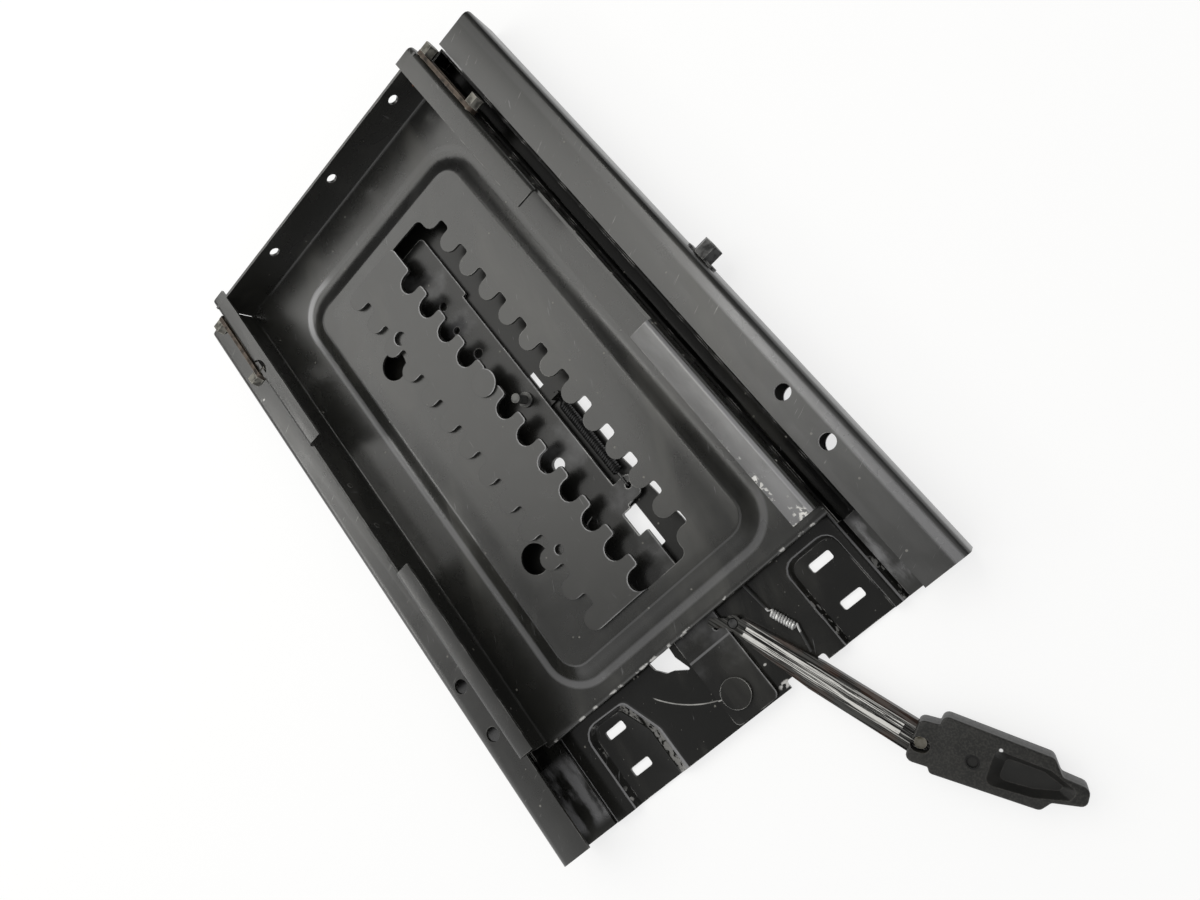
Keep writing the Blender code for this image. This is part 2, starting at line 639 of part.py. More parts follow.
def build_rear_cross_plate(material):
    """The plate under the tray, with a wing toward the front and a tab that holds the latch spring."""
    plate = cross_sheet("rear_cross_plate", REAR_CROSS_START, REAR_CROSS_END)
    wing = box_outline(*WING_X, REAR_CROSS_START - WING_REACH, REAR_CROSS_START + SHEET)
    join(plate, prism("wing", wing, "z", CROSS_LEVEL - SHEET, CROSS_LEVEL))
    x_low, x_high = (LATCH_SPRING_X + side * ANCHOR_TAB_WIDTH / 2 for side in (-1, 1))
    tab = box_outline(x_low, x_high, REAR_CROSS_START, REAR_CROSS_START + SHEET)
    join(plate, prism("anchor_tab", tab, "z", CROSS_LEVEL - SHEET / 2, CROSS_LEVEL + ANCHOR_TAB_HEIGHT))
    hole = [(LATCH_SPRING_X, LATCH_SPRING_LEVEL)]
    low, high = REAR_CROSS_START - SHEET, REAR_CROSS_START + 2 * SHEET
    drill(plate, "tab_hole", hole, SPRING_WIRE + RUN_GAP, "y", low, high)
    slot = box_outline(*ANCHOR_SLOT_X, *(REAR_CROSS_START + reach for reach in ANCHOR_SLOT_REACH))
    cut(plate, prism("anchor_slot", slot, "z", SHEET, CROSS_LEVEL + SHEET))
    smooth(plate)
    return finish(plate, material)


def build_tie_bar(material):
    """The strip that joins both cross plates from below."""
    low = CROSS_LEVEL - SHEET - SEAT_GAP - SHEET
    rear = REAR_CROSS_START + TIE_OVERLAP
    window_front, window_rear = TIE_WINDOW_RANGE
    spots = (
        (TIE_LEFT, TIE_FRONT), (TIE_WIDE_RIGHT, TIE_FRONT), (TIE_WIDE_RIGHT, TIE_TAPER[0]),
        (TIE_RIGHT, TIE_TAPER[1]), (TIE_RIGHT, rear), (TIE_LEFT, rear), (TIE_LEFT, window_rear),
        (TIE_WINDOW_EDGE, window_rear), (TIE_WINDOW_EDGE, window_front), (TIE_LEFT, window_front))
    outline = rounded_polygon([(x, y, TIE_CORNER) for x, y in spots])
    return finish(prism("tie_bar", outline, "z", low, low + SHEET), material)


def build_tray(material):
    """The pressing: floor, side walls with folded flaps, rear wall, raised panel and toothed slot."""
    half = SHEET / 2
    bend = TRAY_FOLD - half
    wall_left, wall_right = TRAY_LEFT + half, TRAY_RIGHT - half
    floor, top = TRAY_FLOOR - half, TRAY_TOP - half
    path = [
        (TRAY_LEFT + LEFT_FLAP, top), (wall_left, top), (wall_left, floor),
        (wall_right, floor), (wall_right, top), (TRAY_RIGHT - RIGHT_FLAP, top),
    ]
    outline = folded_outline(path, SHEET, [bend] * 4)
    tray = prism("slide_tray", outline, "y", TRAY_FRONT + TRAY_FOLD, TRAY_REAR - TRAY_FOLD)
    inner = (wall_left, wall_right)
    rear = [(TRAY_REAR - TRAY_FOLD - WALL_SEAM, floor), (TRAY_REAR - half, floor), (TRAY_REAR - half, TRAY_TOP)]
    join(tray, prism("rear_wall", folded_outline(rear, SHEET, [bend]), "x", *inner))
    front = [
        (TRAY_FRONT + TRAY_FOLD + WALL_SEAM, floor), (TRAY_FRONT + half, floor),
        (TRAY_FRONT + half, TRAY_FLOOR - FRONT_FLANGE_DROP),
    ]
    join(tray, prism("front_flange", folded_outline(front, SHEET, [FLANGE_FOLD]), "x", *inner))
    add_ears(tray, half, bend)
    for name, x_low, x_high in (("left_break", TRAY_LEFT - SHEET, TRAY_LEFT + 2 * LEFT_FLAP),
                                ("right_break", TRAY_RIGHT - 2 * RIGHT_FLAP, TRAY_RIGHT + SHEET)):
        gap = box_outline(x_low, x_high, TRAY_FRONT + FLAP_FRONT_LENGTH, TRAY_REAR - FLAP_REAR_LENGTH)
        cut(tray, prism(name, gap, "z", TRAY_TOP - TRAY_FOLD, TRAY_TOP + SHEET))
    edge, flat = panel_outlines()
    press_pan(tray, "raised_panel", edge, flat, TRAY_FLOOR, PANEL_RISE)
    cut(tray, prism("toothed_slot", toothed_slot(), "z", TRAY_FLOOR - 2 * SHEET, PANEL_TOP + SHEET))
    flat_left = PANEL_LEFT + PANEL_BEVEL
    holes = [(flat_left + inset, y) for inset, y in PANEL_HOLES]
    drill(tray, "panel_holes", holes, PANEL_HOLE_RADIUS, "z", TRAY_FLOOR, PANEL_TOP + SHEET)
    rear_spots = [(REAR_HOLE_X + index * REAR_HOLE_STEP, REAR_HOLE_LEVEL) for index in (-1, 0, 1)]
    drill(tray, "rear_holes", rear_spots, REAR_HOLE_RADIUS, "y", TRAY_REAR - 2 * SHEET, TRAY_REAR + SHEET)
    for side in (-1, 1):
        wall, rows = bolt_side(side)
        spots = [(row, BOLT_LEVEL) for row in rows]
        past = (wall - 2 * SHEET, wall + 2 * SHEET)
        drill(tray, "bolt_holes_%d" % (side + 1), spots, BOLT_SHANK_RADIUS + HOLE_CLEARANCE, "x", *past)
    scallop = circle((TRAY_LEFT, LEFT_BOLT_ROWS[1]), FLAP_SCALLOP_RADIUS)
    cut(tray, prism("flap_scallop", scallop, "z", TRAY_TOP - SHEET, TRAY_TOP + SHEET))
    smooth(tray)
    return finish(tray, material)


def add_ears(tray, half, bend):
    """The rear ends of both rear flaps, which stand past the rear wall."""
    top = TRAY_TOP - half
    for side, wall, flap in ((1, TRAY_LEFT, LEFT_FLAP), (-1, TRAY_RIGHT, RIGHT_FLAP)):
        middle = wall + side * half
        path = [(middle, TRAY_TOP - FLAP_EAR), (middle, top), (wall + side * flap, top)]
        outline = folded_outline(path, SHEET, [bend])
        ear = (TRAY_REAR - 2 * TRAY_FOLD, TRAY_REAR + FLAP_OVERHANG)
        join(tray, prism("flap_ear_%d" % (side + 1), outline, "y", *ear))


def bolt_side(side):
    """The tray wall's outer face and the two bolt rows of one side."""
    return (TRAY_RIGHT, RIGHT_BOLT_ROWS) if side > 0 else (TRAY_LEFT, LEFT_BOLT_ROWS)


def panel_outlines():
    """The panel's bevel foot and its flat top, with matching points."""
    centre = ((PANEL_LEFT + PANEL_RIGHT) / 2, (PANEL_FRONT + PANEL_REAR) / 2)
    foot = (PANEL_RIGHT - PANEL_LEFT, PANEL_REAR - PANEL_FRONT)
    flat = tuple(length - 2 * PANEL_BEVEL for length in foot)
    outer = rounded_rectangle(centre, foot, PANEL_RADIUS + PANEL_BEVEL)
    return outer, rounded_rectangle(centre, flat, PANEL_RADIUS)


def toothed_slot():
    """The slot beside the rack: straight on the left, one tooth wave on the right."""
    left = RACK_RIGHT_X + SEAT_GAP
    corner = SLOT_CORNER
    edge = wave(SLOT_ROW_X, TOOTH_COUNT)
    points = arc((SLOT_ROW_X - corner, ROW_FRONT + corner), corner, -90, 0, 4) + edge
    points += arc((SLOT_ROW_X - corner, ROW_REAR - corner), corner, 0, 90, 4)
    points += arc((left + corner, ROW_REAR - corner), corner, 90, 180, 4)
    points += arc((left + corner, ROW_FRONT + corner), corner, 180, 270, 4)
    return points


def build_rack(material):
    """The toothed plate: bulbs on its left edge, round notches between flat teeth on its right edge."""
    right_hub = RACK_RIGHT_X + ROUND_RADIUS
    left_hub = RACK_LEFT_X + ROUND_RADIUS
    last_notch = TOOTH_START + (TOOTH_COUNT - 1) * TOOTH_PITCH
    tip = RACK_RIGHT_X + WAVE_DEPTH
    right = arc((right_hub, TOOTH_START), ROUND_RADIUS, 270, 180, ARC_STEPS)[:-1]
    right += wave(RACK_RIGHT_X, TOOTH_COUNT - 1)[:-1]
    right += arc((right_hub, last_notch), ROUND_RADIUS, 180, 90, ARC_STEPS)
    lower = (tip - WAVE_CORNER, last_notch + ROUND_RADIUS + WAVE_CORNER)
    right += arc(lower, WAVE_CORNER, -90, 0, CORNER_STEPS)
    right += arc((tip - SLOT_CORNER, ROW_REAR - SLOT_CORNER), SLOT_CORNER, 0, 90, 4)
    left = arc((left_hub, ROW_REAR - ROUND_RADIUS), ROUND_RADIUS, 90, 180, ARC_STEPS)[:-1]
    left += wave(RACK_LEFT_X, TOOTH_COUNT)[::-1]
    left += arc((left_hub, TOOTH_START), ROUND_RADIUS, 180, 270, ARC_STEPS)[1:]
    rack = prism("rack_plate", right + left, "z", RACK_BASE, RACK_TOP)
    for index, (x, y, radius) in enumerate(RACK_HOLES):
        name = "rack_hole_%d" % (index + 1)
        drill(rack, name, [(x, y)], radius, "z", RACK_BASE - SHEET, RACK_TOP + SHEET)
    smooth(rack)
    return finish(rack, material)


def stack(name, spot, levels, origin=(0, 0, 0)):
    """A turned piece on a vertical axis, from (radius, low, high) steps that touch each other."""
    builder = bmesh.new()
    rings = []
    for radius, start, end in levels:
        for height in (start, end):
            rings.append([builder.verts.new((x, y, height)) for x, y in circle(spot, radius)])
    for first, second in zip(rings, rings[1:]):
        for index in range(ROUND_STEPS):
            after = (index + 1) % ROUND_STEPS
            builder.faces.new((first[index], first[after], second[after], second[index]))
    builder.faces.new(rings[0][::-1])
    builder.faces.new(rings[-1])
    item = make_object(name, builder, origin)
    smooth(item)
    return item


def build_rack_rivet(material):
    """The flat head that fills one of the rack's notches."""
    spot = (RIVET_X, TOOTH_START + RIVET_NOTCH * TOOTH_PITCH)
    head = RACK_TOP + SEAT_GAP
    levels = [(RIVET_BOSS_RADIUS, RACK_BASE, head), (RIVET_RADIUS, head, head + RIVET_HEAD)]
    return finish(stack("rack_rivet", spot, levels), material)


def build_runner(name, side, material):
    """A folded strip on the tray's wall; the wide side's one turns up again beside the rail's strip."""
    half = RUNNER_SHEET / 2
    level = RUNNER_LEVEL - half
    if side > 0:
        wall = TRAY_RIGHT + SEAT_GAP + half
        lip = WIDE_EDGE - STRIP_CLEARANCE - half
        path = [(wall, RUNNER_TOP), (wall, level), (lip, level), (lip, RUNNER_TOP)]
    else:
        wall = TRAY_LEFT - SEAT_GAP - half
        path = [(wall, RUNNER_TOP), (wall, level), (wall - LEFT_RUNNER_WIDTH, level)]
    outline = folded_outline(path, RUNNER_SHEET, [RUNNER_FOLD] * (len(path) - 2))
    rear = TRAY_REAR - RUNNER_END
    runner = prism(name, outline, "y", TRAY_FRONT - RUNNER_NOSE, rear)
    if side > 0:
        stop = box_outline(wall, lip, level, RUNNER_TOP)
        join(runner, prism("runner_stop", stop, "y", rear - RUNNER_SHEET, rear))
    smooth(runner)
    return finish(runner, material)


def build_pad(name, side, end, material):
    """A slide pad between the runner and the rail's foot."""
    middle = TRAY_RIGHT + RIGHT_PAD_OFFSET if side > 0 else TRAY_LEFT - LEFT_PAD_OFFSET
    centre = (middle, PAD_CENTRES[end])
    outline = rounded_rectangle(centre, (PAD_WIDTH, PAD_LENGTH), SHEET)
    pad = prism(name, outline, "z", PAD_FLOOR, RUNNER_BASE - SEAT_GAP)
    bevel = pad.modifiers.new("edges", "BEVEL")
    bevel.width = RUN_GAP
    bevel.segments = 1
    return finish(pad, material)


def build_clamp(name, side, material):
    """A slotted plate on the outside of the tray's wall."""
    wall, rows = bolt_side(side)
    near = wall + side * SEAT_GAP
    low, high = sorted((near, near + side * CLAMP_THICKNESS))
    length = BOLT_STEP + CLAMP_HEIGHT
    centre = (sum(rows) / 2, BOLT_LEVEL)
    clamp = prism(name, rounded_rectangle(centre, (length, CLAMP_HEIGHT), CLAMP_CORNER), "x", low, high)
    past = (low - SHEET, high + SHEET)
    cut(clamp, prism(name + "_slot", slot_outline(centre, *CLAMP_SLOT), "x", *past))
    spots = [(row, BOLT_LEVEL) for row in rows]
    drill(clamp, name + "_holes", spots, BOLT_SHANK_RADIUS + HOLE_CLEARANCE, "x", *past)
    smooth(clamp)
    return finish(clamp, material)


def build_bolt(name, side, index, material):
    """A hexagon head outside the clamp, with its shank through the wall."""
    wall, rows = bolt_side(side)
    face = wall + side * (2 * SEAT_GAP + CLAMP_THICKNESS)
    inside = wall - side * (SHEET + BOLT_SHANK_PAST)
    centre = (rows[index], BOLT_LEVEL)
    bolt = prism(name, hexagon(centre, BOLT_FLATS), "x", *sorted((face, face + side * BOLT_HEAD)))
    shank = sorted((inside, face + side * BOLT_HEAD / 2))
    join(bolt, prism(name + "_shank", circle(centre, BOLT_SHANK_RADIUS), "x", *shank))
    return finish(bolt, material)


def build_standoff(material):
    """A hollow hexagonal post on a small foot plate, outside the wide rail."""
    centre = (STANDOFF_Y, STANDOFF_Z)
    near = HALF_TRACK + SEAT_GAP
    length, height, thickness = STANDOFF_FOOT
    outline = rounded_rectangle(centre, (length, height), thickness)
    post = prism("side_standoff", outline, "x", near, near + thickness)
    hexagonal = hexagon(centre, STANDOFF_FLATS)
    join(post, prism("standoff_hexagon", hexagonal, "x", near + thickness / 2, near + STANDOFF_LENGTH))
    bore = (near + thickness, near + STANDOFF_LENGTH + SHEET)
    drill(post, "standoff_bore", [centre], STANDOFF_BORE_RADIUS, "x", *bore)
    return finish(post, material)


def build_arm(material):
    """The long flat arm under the tray, with a step, a lug for its spring and a slot for the lever."""
    origin = (*ARM_PIVOT, ARM_BASE)
    step_x, step_low, step_high = ARM_STEP
    lug_x, lug_low, lug_high = ARM_LUG
    corner, small = ARM_CORNER, ARM_SMALL_CORNER
    outline = rounded_polygon([
        (ARM_LEFT, ARM_FRONT, corner), (ARM_EDGE, ARM_FRONT, corner), (ARM_EDGE, step_low, small),
        (step_x, step_low, small), (step_x, step_high, small), (ARM_EDGE, step_high, small),
        (ARM_EDGE, lug_low, small), (lug_x, lug_low, corner), (lug_x, lug_high, corner),
        (ARM_EDGE, lug_high, small), (ARM_EDGE, ARM_WIDE_START, small),
        (ARM_WIDE_EDGE, ARM_WIDE_START, small), (ARM_WIDE_EDGE, ARM_REAR, corner),
        (ARM_LEFT, ARM_REAR, corner)])
    arm = prism("latch_arm", outline, "z", ARM_BASE, ARM_TOP, origin)
    past = (ARM_BASE - SHEET, ARM_TOP + SHEET)
    drill(arm, "pivot_hole", [ARM_PIVOT], ARM_RIVET_SHANK + RUN_GAP, "z", *past)
    drill(arm, "pin_hole", [(LOCK_PIN_X, LOCK_PIN_Y)], LOCK_STUD_RADIUS + SEAT_GAP, "z", *past)
    drill(arm, "lug_hole", [(LATCH_SPRING_X, LUG_HOLE_Y)], LUG_HOLE_RADIUS, "z", *past)
    for index, (x, y, radius) in enumerate(ARM_HOLES):
        drill(arm, "arm_hole_%d" % (index + 1), [(x, y)], radius, "z", *past)
    slot = rounded_polygon([(x, y, DRIVE_SLOT[2]) for x, y in box_outline(*DRIVE_SLOT[0], *DRIVE_SLOT[1])])
    cut(arm, prism("drive_slot", slot, "z", *past))
    return finish(arm, material)


def build_lock_pin(material):
    collar_radius, collar_height = LOCK_COLLAR
    seat = ARM_TOP + SEAT_GAP
    levels = [
        (LOCK_STUD_RADIUS, ARM_BASE, seat),
        (collar_radius, seat, seat + collar_height),
        (LOCK_PIN_RADIUS, seat + collar_height, RACK_TOP),
    ]
    origin = (*ARM_PIVOT, ARM_BASE)
    return finish(stack("lock_pin", (LOCK_PIN_X, LOCK_PIN_Y), levels, origin), material)


def build_arm_rivet(material):
    tail = CROSS_LEVEL - SHEET - SEAT_GAP
    head = ARM_TOP + SEAT_GAP
    levels = [
        (ARM_RIVET_SHANK * TAIL_SHARE, tail - SHEET, tail),
        (ARM_RIVET_SHANK, tail, head),
        (ARM_RIVET_HEAD, head, head + SHEET),
    ]
    return finish(stack("arm_rivet", ARM_PIVOT, levels), material)


def build_lever_pin(material):
    tail = CROSS_LEVEL - SHEET - SEAT_GAP
    levels = [
        (LEVER_PIN_RADIUS * TAIL_SHARE, tail - SHEET, tail),
        (LEVER_PIN_RADIUS, tail, LEVER_TOP),
    ]
    return finish(stack("lever_pin", LEVER_PIVOT, levels), material)


def along_lever(distance, offset=0.0):
    """A plan point at a distance from the lever's pivot toward its end."""
    return tuple(Vector(LEVER_PIVOT) + LEVER_AXIS * distance + LEVER_SIDE * offset)


def lever_outline(spread):
    """The bar's plan, from the ring to the end, narrowed by the given spread."""
    root, end = LEVER_ROOT_WIDTH / 2 - spread, LEVER_END_WIDTH / 2 - spread
    start = LEVER_RING_RADIUS / 2 + spread
    stations = ((start, root), (LEVER_SHOULDER, end), (LEVER_LENGTH - spread, end))
    right = [(*along_lever(distance, half), LEVER_CORNER) for distance, half in stations]
    left = [(*along_lever(distance, -half), LEVER_CORNER) for distance, half in reversed(stations)]
    return rounded_polygon(right + left)


def build_lever(material):
    """A channel bar with two ribs, a ring at its pivot and a tongue that drives the arm."""
    origin = (*LEVER_PIVOT, LEVER_BASE)
    lever = prism("lever_bar", lever_outline(0), "z", LEVER_BASE, LEVER_TOP, origin)
    inside = lever_outline(LEVER_WALL)
    cut(lever, prism("lever_channel", inside, "z", LEVER_BASE - SHEET, LEVER_TOP - LEVER_WALL))
    join(lever, prism("lever_ring", circle(LEVER_PIVOT, LEVER_RING_RADIUS), "z", LEVER_BASE, LEVER_TOP))
    ribs = bmesh.new()
    for side in (-1, 1):
        middle = side * RIB_SPACING / 2
        ends = [(RIB_RANGE[0], -1), (RIB_RANGE[1], -1), (RIB_RANGE[1], 1), (RIB_RANGE[0], 1)]
        outline = [along_lever(distance, middle + edge * RIB_WIDTH / 2) for distance, edge in ends]
        add_prism(ribs, outline, "z", LEVER_TOP - LEVER_WALL / 2, LEVER_TOP + RIB_HEIGHT)
    join(lever, make_object("lever_ribs", ribs))
    join(lever, prism("lever_tongue", tongue_outline(), "z", ARM_TOP + SEAT_GAP, LEVER_TOP))
    driver = Vector(LEVER_PIVOT) + Vector(DRIVE_PIN_REACH)
    pin = prism("drive_pin", circle(driver, DRIVE_PIN_RADIUS), "z", ARM_BASE, LEVER_TOP - LEVER_WALL / 4)
    join(lever, pin)
    past = (LEVER_BASE - SHEET, LEVER_TOP + SHEET)
    drill(lever, "ring_hole", [LEVER_PIVOT], LEVER_PIN_RADIUS + RUN_GAP, "z", *past)
    drill(lever, "screw_hole", [along_lever(SCREW_DISTANCE)], SCREW_SHANK_RADIUS + SEAT_GAP, "z", *past)
    smooth(lever)
    return finish(lever, material)


def tongue_outline():
    """A finger from the lever's ring to the drive pin."""
    reach = Vector(DRIVE_PIN_REACH)
    way = reach.normalized()
    side = Vector((-way.y, way.x)) * TONGUE_WIDTH / 2
    pivot = Vector(LEVER_PIVOT)
    tip = pivot + reach + way * TONGUE_PAST
    corners = (pivot - side, tip - side, tip + side, pivot + side)
    return rounded_polygon([(*corner, DRIVE_PIN_RADIUS) for corner in corners])


def grip_point(distance, offset):
    """A plan point in the grip's own direction, measured from its screw."""
    axis = Vector((math.sin(GRIP_ANGLE), -math.cos(GRIP_ANGLE)))
    side = Vector((-axis.y, axis.x))
    return tuple(Vector(along_lever(SCREW_DISTANCE)) + axis * distance + side * offset)


def build_grip(material):
    """The moulded handle: rounded body, thumb pocket, dimple and oval screw hole."""
    outline = rounded_polygon([(*grip_point(distance, offset), radius) for distance, offset, radius in GRIP_PLAN])
    top = GRIP_BASE + GRIP_HEIGHT
    origin = (*LEVER_PIVOT, LEVER_BASE)
    grip = prism("lever_grip", outline, "z", GRIP_BASE, top, origin)
    bevel = grip.modifiers.new("edges", "BEVEL")
    bevel.width = GRIP_EDGE
    bevel.segments = 3
    pocket = rounded_polygon([(*grip_point(distance, offset), radius) for distance, offset, radius in THUMB_PLAN])
    floor = rounded_polygon([(*grip_point(distance, offset), radius) for distance, offset, radius in THUMB_FLOOR])
    cut(grip, loft("thumb_pocket", floor, pocket, top - GRIP_POCKET_DEPTH, top + SEAT_GAP))
    cut(grip, prism("lever_seat", lever_outline(-SEAT_GAP), "z", GRIP_BASE - SHEET, LEVER_TOP + SEAT_GAP))
    ribs = [along_lever(distance, side * RIB_SPACING) for distance, side in
            ((LEVER_SHOULDER, -1), (RIB_RANGE[1] + RUN_GAP, -1), (RIB_RANGE[1] + RUN_GAP, 1), (LEVER_SHOULDER, 1))]
    cut(grip, prism("rib_seat", ribs, "z", LEVER_BASE, LEVER_TOP + RIB_HEIGHT + SEAT_GAP))
    length, width, corner = GRIP_SLOT
    oval = rounded_polygon([(*grip_point(distance, offset), corner) for distance, offset in
                            box_outline(-length / 2, length / 2, -width / 2, width / 2)])
    cut(grip, prism("oval_hole", oval, "z", LEVER_BASE, top + SHEET))
    drill(grip, "grip_dimple", [grip_point(DIMPLE_DISTANCE, 0)], DIMPLE_RADIUS, "z", top - SHEET / 2, top + SHEET)
    smooth(grip)
    return finish(grip, material)


def loft(name, low_outline, high_outline, low, high):
    """A solid between two outlines with matching points."""
    builder = bmesh.new()
    bottom = [builder.verts.new((x, y, low)) for x, y in low_outline]
    top = [builder.verts.new((x, y, high)) for x, y in high_outline]
    builder.faces.new(bottom[::-1])
    builder.faces.new(top)
    count = len(bottom)
    for index in range(count):
        after = (index + 1) % count
        builder.faces.new((bottom[index], bottom[after], top[after], top[index]))
    bmesh.ops.triangulate(builder, faces=[face for face in builder.faces if len(face.verts) == 4])
    return make_object(name, builder)


def build_grip_screw(material):
    seat = LEVER_TOP + SEAT_GAP
    levels = [
        (SCREW_SHANK_RADIUS, LEVER_BASE, seat),
        (GRIP_SCREW_RADIUS, seat, seat + SCREW_HEAD),
    ]
    origin = (*LEVER_PIVOT, LEVER_BASE)
    return finish(stack("grip_screw", along_lever(SCREW_DISTANCE), levels, origin), material)


def build_latch_spring(material):
    """The coil between the arm's lug and the rear plate's tab, with its two hooks."""
    level = LATCH_SPRING_LEVEL
    front = Vector((LATCH_SPRING_X, LUG_HOLE_Y + LATCH_SPRING_LEADS[0], level))
    rear = Vector((LATCH_SPRING_X, REAR_CROSS_START - LATCH_SPRING_LEADS[1], level))
    over = ARM_TOP + SEAT_GAP + SPRING_WIRE
    path = [
        Vector((LATCH_SPRING_X, LUG_HOLE_Y, ARM_BASE - RUN_GAP)),
        Vector((LATCH_SPRING_X, LUG_HOLE_Y, over - SPRING_WIRE)),
        Vector((LATCH_SPRING_X, LUG_HOLE_Y + SPRING_WIRE, over)),
        Vector((LATCH_SPRING_X, front.y - HOOK_LEAD, over)),
    ]
    path += coil(front, rear, LATCH_SPRING_RADIUS - SPRING_WIRE)
    path += [
        Vector((LATCH_SPRING_X, rear.y + HOOK_LEAD, level)),
        Vector((LATCH_SPRING_X, REAR_CROSS_START + SHEET + HOOK_LEAD, level)),
    ]
    spring = wire("latch_spring", path, (LATCH_SPRING_X, REAR_CROSS_START, level))
    smooth(spring, 60)
    return finish(spring, material)


def build_return_spring(material):
    """The small coil beside the lever, hooked in the plate at its rear end."""
    (x_rear, y_rear), (x_front, y_front) = RETURN_BODY
    rear = Vector((x_rear, y_rear, RETURN_LEVEL))
    front = Vector((x_front, y_front, RETURN_LEVEL))
    anchor = Vector((*RETURN_ANCHOR, RETURN_LEVEL))
    way = (front - rear).normalized()
    path = [Vector((*RETURN_ANCHOR, CROSS_LEVEL - SHEET)), anchor, rear - way * HOOK_LEAD]
    path += coil(rear, front, RETURN_SPRING_RADIUS - SPRING_WIRE)
    path += [front + way * HOOK_LEAD, Vector((*RETURN_END, RETURN_LEVEL))]
    spring = wire("return_spring", path, (*RETURN_ANCHOR, RETURN_LEVEL))
    smooth(spring, 60)
    return finish(spring, material)


def centre_on_floor():
    """Moves everything so that the origin is the footprint's centre on the floor."""
    bpy.context.view_layer.update()
    graph = bpy.context.evaluated_depsgraph_get()
    corners = []
    for item in bpy.data.objects:
        if not item.hide_render:
            shown = item.evaluated_get(graph)
            corners += [shown.matrix_world @ Vector(corner) for corner in shown.bound_box]
    lows = [min(corner[axis] for corner in corners) for axis in range(3)]
    highs = [max(corner[axis] for corner in corners) for axis in range(3)]
    shift = Vector(((lows[0] + highs[0]) / 2, (lows[1] + highs[1]) / 2, lows[2]))
    for item in bpy.data.objects:
        item.location -= shift


def main():
    clear_scene()
    grey = (0.16, 0.16, 0.17)
    build_base_plate(paint("base_paint", (0.10, 0.10, 0.11), 0.5))
    build_rear_cross_plate(paint("cross_paint", (0.09, 0.09, 0.10), 0.5))
    build_tie_bar(paint("tie_paint", (0.11, 0.11, 0.12), 0.5))
    build_rail("right_rail", 1, paint("right_rail_paint", (0.12, 0.12, 0.13), 0.4))
    build_rail("left_rail", -1, paint("left_rail_paint", (0.12, 0.12, 0.13), 0.4))
    build_standoff(paint("standoff_steel", grey, 0.4, 0.8))
    build_arm_rivet(paint("arm_rivet_steel", grey, 0.4, 0.6))
    build_lever_pin(paint("lever_pin_steel", grey, 0.4, 0.8))
    build_tray(paint("tray_paint", (0.13, 0.13, 0.14), 0.45))
    build_rack(paint("rack_paint", (0.20, 0.20, 0.21), 0.45))
    build_rack_rivet(paint("rack_rivet_paint", (0.22, 0.22, 0.23), 0.4))
    for name, side in (("right", 1), ("left", -1)):
        build_runner(name + "_runner", side, paint(name + "_runner_paint", (0.12, 0.12, 0.13), 0.5))
        for end in PAD_CENTRES:
            pad_name = "%s_%s_pad" % (name, end)
            build_pad(pad_name, side, end, paint(pad_name + "_plastic", (0.03, 0.03, 0.03), 0.6))
        build_clamp(name + "_clamp", side, paint(name + "_clamp_steel", (0.20, 0.15, 0.11), 0.7, 0.5))
        for index in range(2):
            bolt_name = "%s_bolt_%d" % (name, index + 1)
            build_bolt(bolt_name, side, index, paint(bolt_name + "_steel", (0.3, 0.3, 0.3), 0.4, 0.9))
    build_arm(paint("arm_paint", (0.10, 0.10, 0.11), 0.45))
    build_lock_pin(paint("lock_pin_steel", (0.45, 0.45, 0.45), 0.35, 0.9))
    build_lever(paint("lever_paint", (0.08, 0.08, 0.09), 0.4))
    build_grip(paint("grip_plastic", (0.03, 0.03, 0.03), 0.55))
    build_grip_screw(paint("screw_steel", (0.4, 0.4, 0.4), 0.4, 0.9))
    build_latch_spring(paint("latch_spring_paint", (0.02, 0.02, 0.02), 0.25))
    build_return_spring(paint("return_spring_steel", (0.25, 0.25, 0.25), 0.35, 0.9))
    centre_on_floor()


main()
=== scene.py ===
"""Finishes of a seat slide rail: worn satin black steel, bright ribs, moulded grip, and a pale studio floor.

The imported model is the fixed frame: +Y runs along the rails away from the lever, +X toward the wide rail.
"""
import math

import bpy
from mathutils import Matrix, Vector


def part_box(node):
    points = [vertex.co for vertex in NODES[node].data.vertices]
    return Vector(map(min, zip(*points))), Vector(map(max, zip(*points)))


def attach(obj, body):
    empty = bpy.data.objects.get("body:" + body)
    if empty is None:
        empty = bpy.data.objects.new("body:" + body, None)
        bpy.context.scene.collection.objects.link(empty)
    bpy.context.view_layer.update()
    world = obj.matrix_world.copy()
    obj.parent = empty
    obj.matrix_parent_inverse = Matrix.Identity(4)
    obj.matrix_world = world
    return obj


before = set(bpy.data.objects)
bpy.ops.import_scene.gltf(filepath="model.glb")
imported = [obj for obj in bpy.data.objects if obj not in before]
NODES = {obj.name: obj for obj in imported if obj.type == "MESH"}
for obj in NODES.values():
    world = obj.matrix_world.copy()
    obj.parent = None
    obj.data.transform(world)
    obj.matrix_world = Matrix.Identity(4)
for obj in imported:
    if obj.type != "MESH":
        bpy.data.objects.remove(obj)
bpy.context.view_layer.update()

bl_info = {
    "name": "Seat Slide Finishes",
    "version": (1, 0, 0),
    "blender": (4, 5, 0),
    "location": "View3D > Sidebar > Seat Slide",
    "description": "Finishes the pieces of a seat slide rail and sets its stage",
    "category": "Object",
}

MM = 0.001

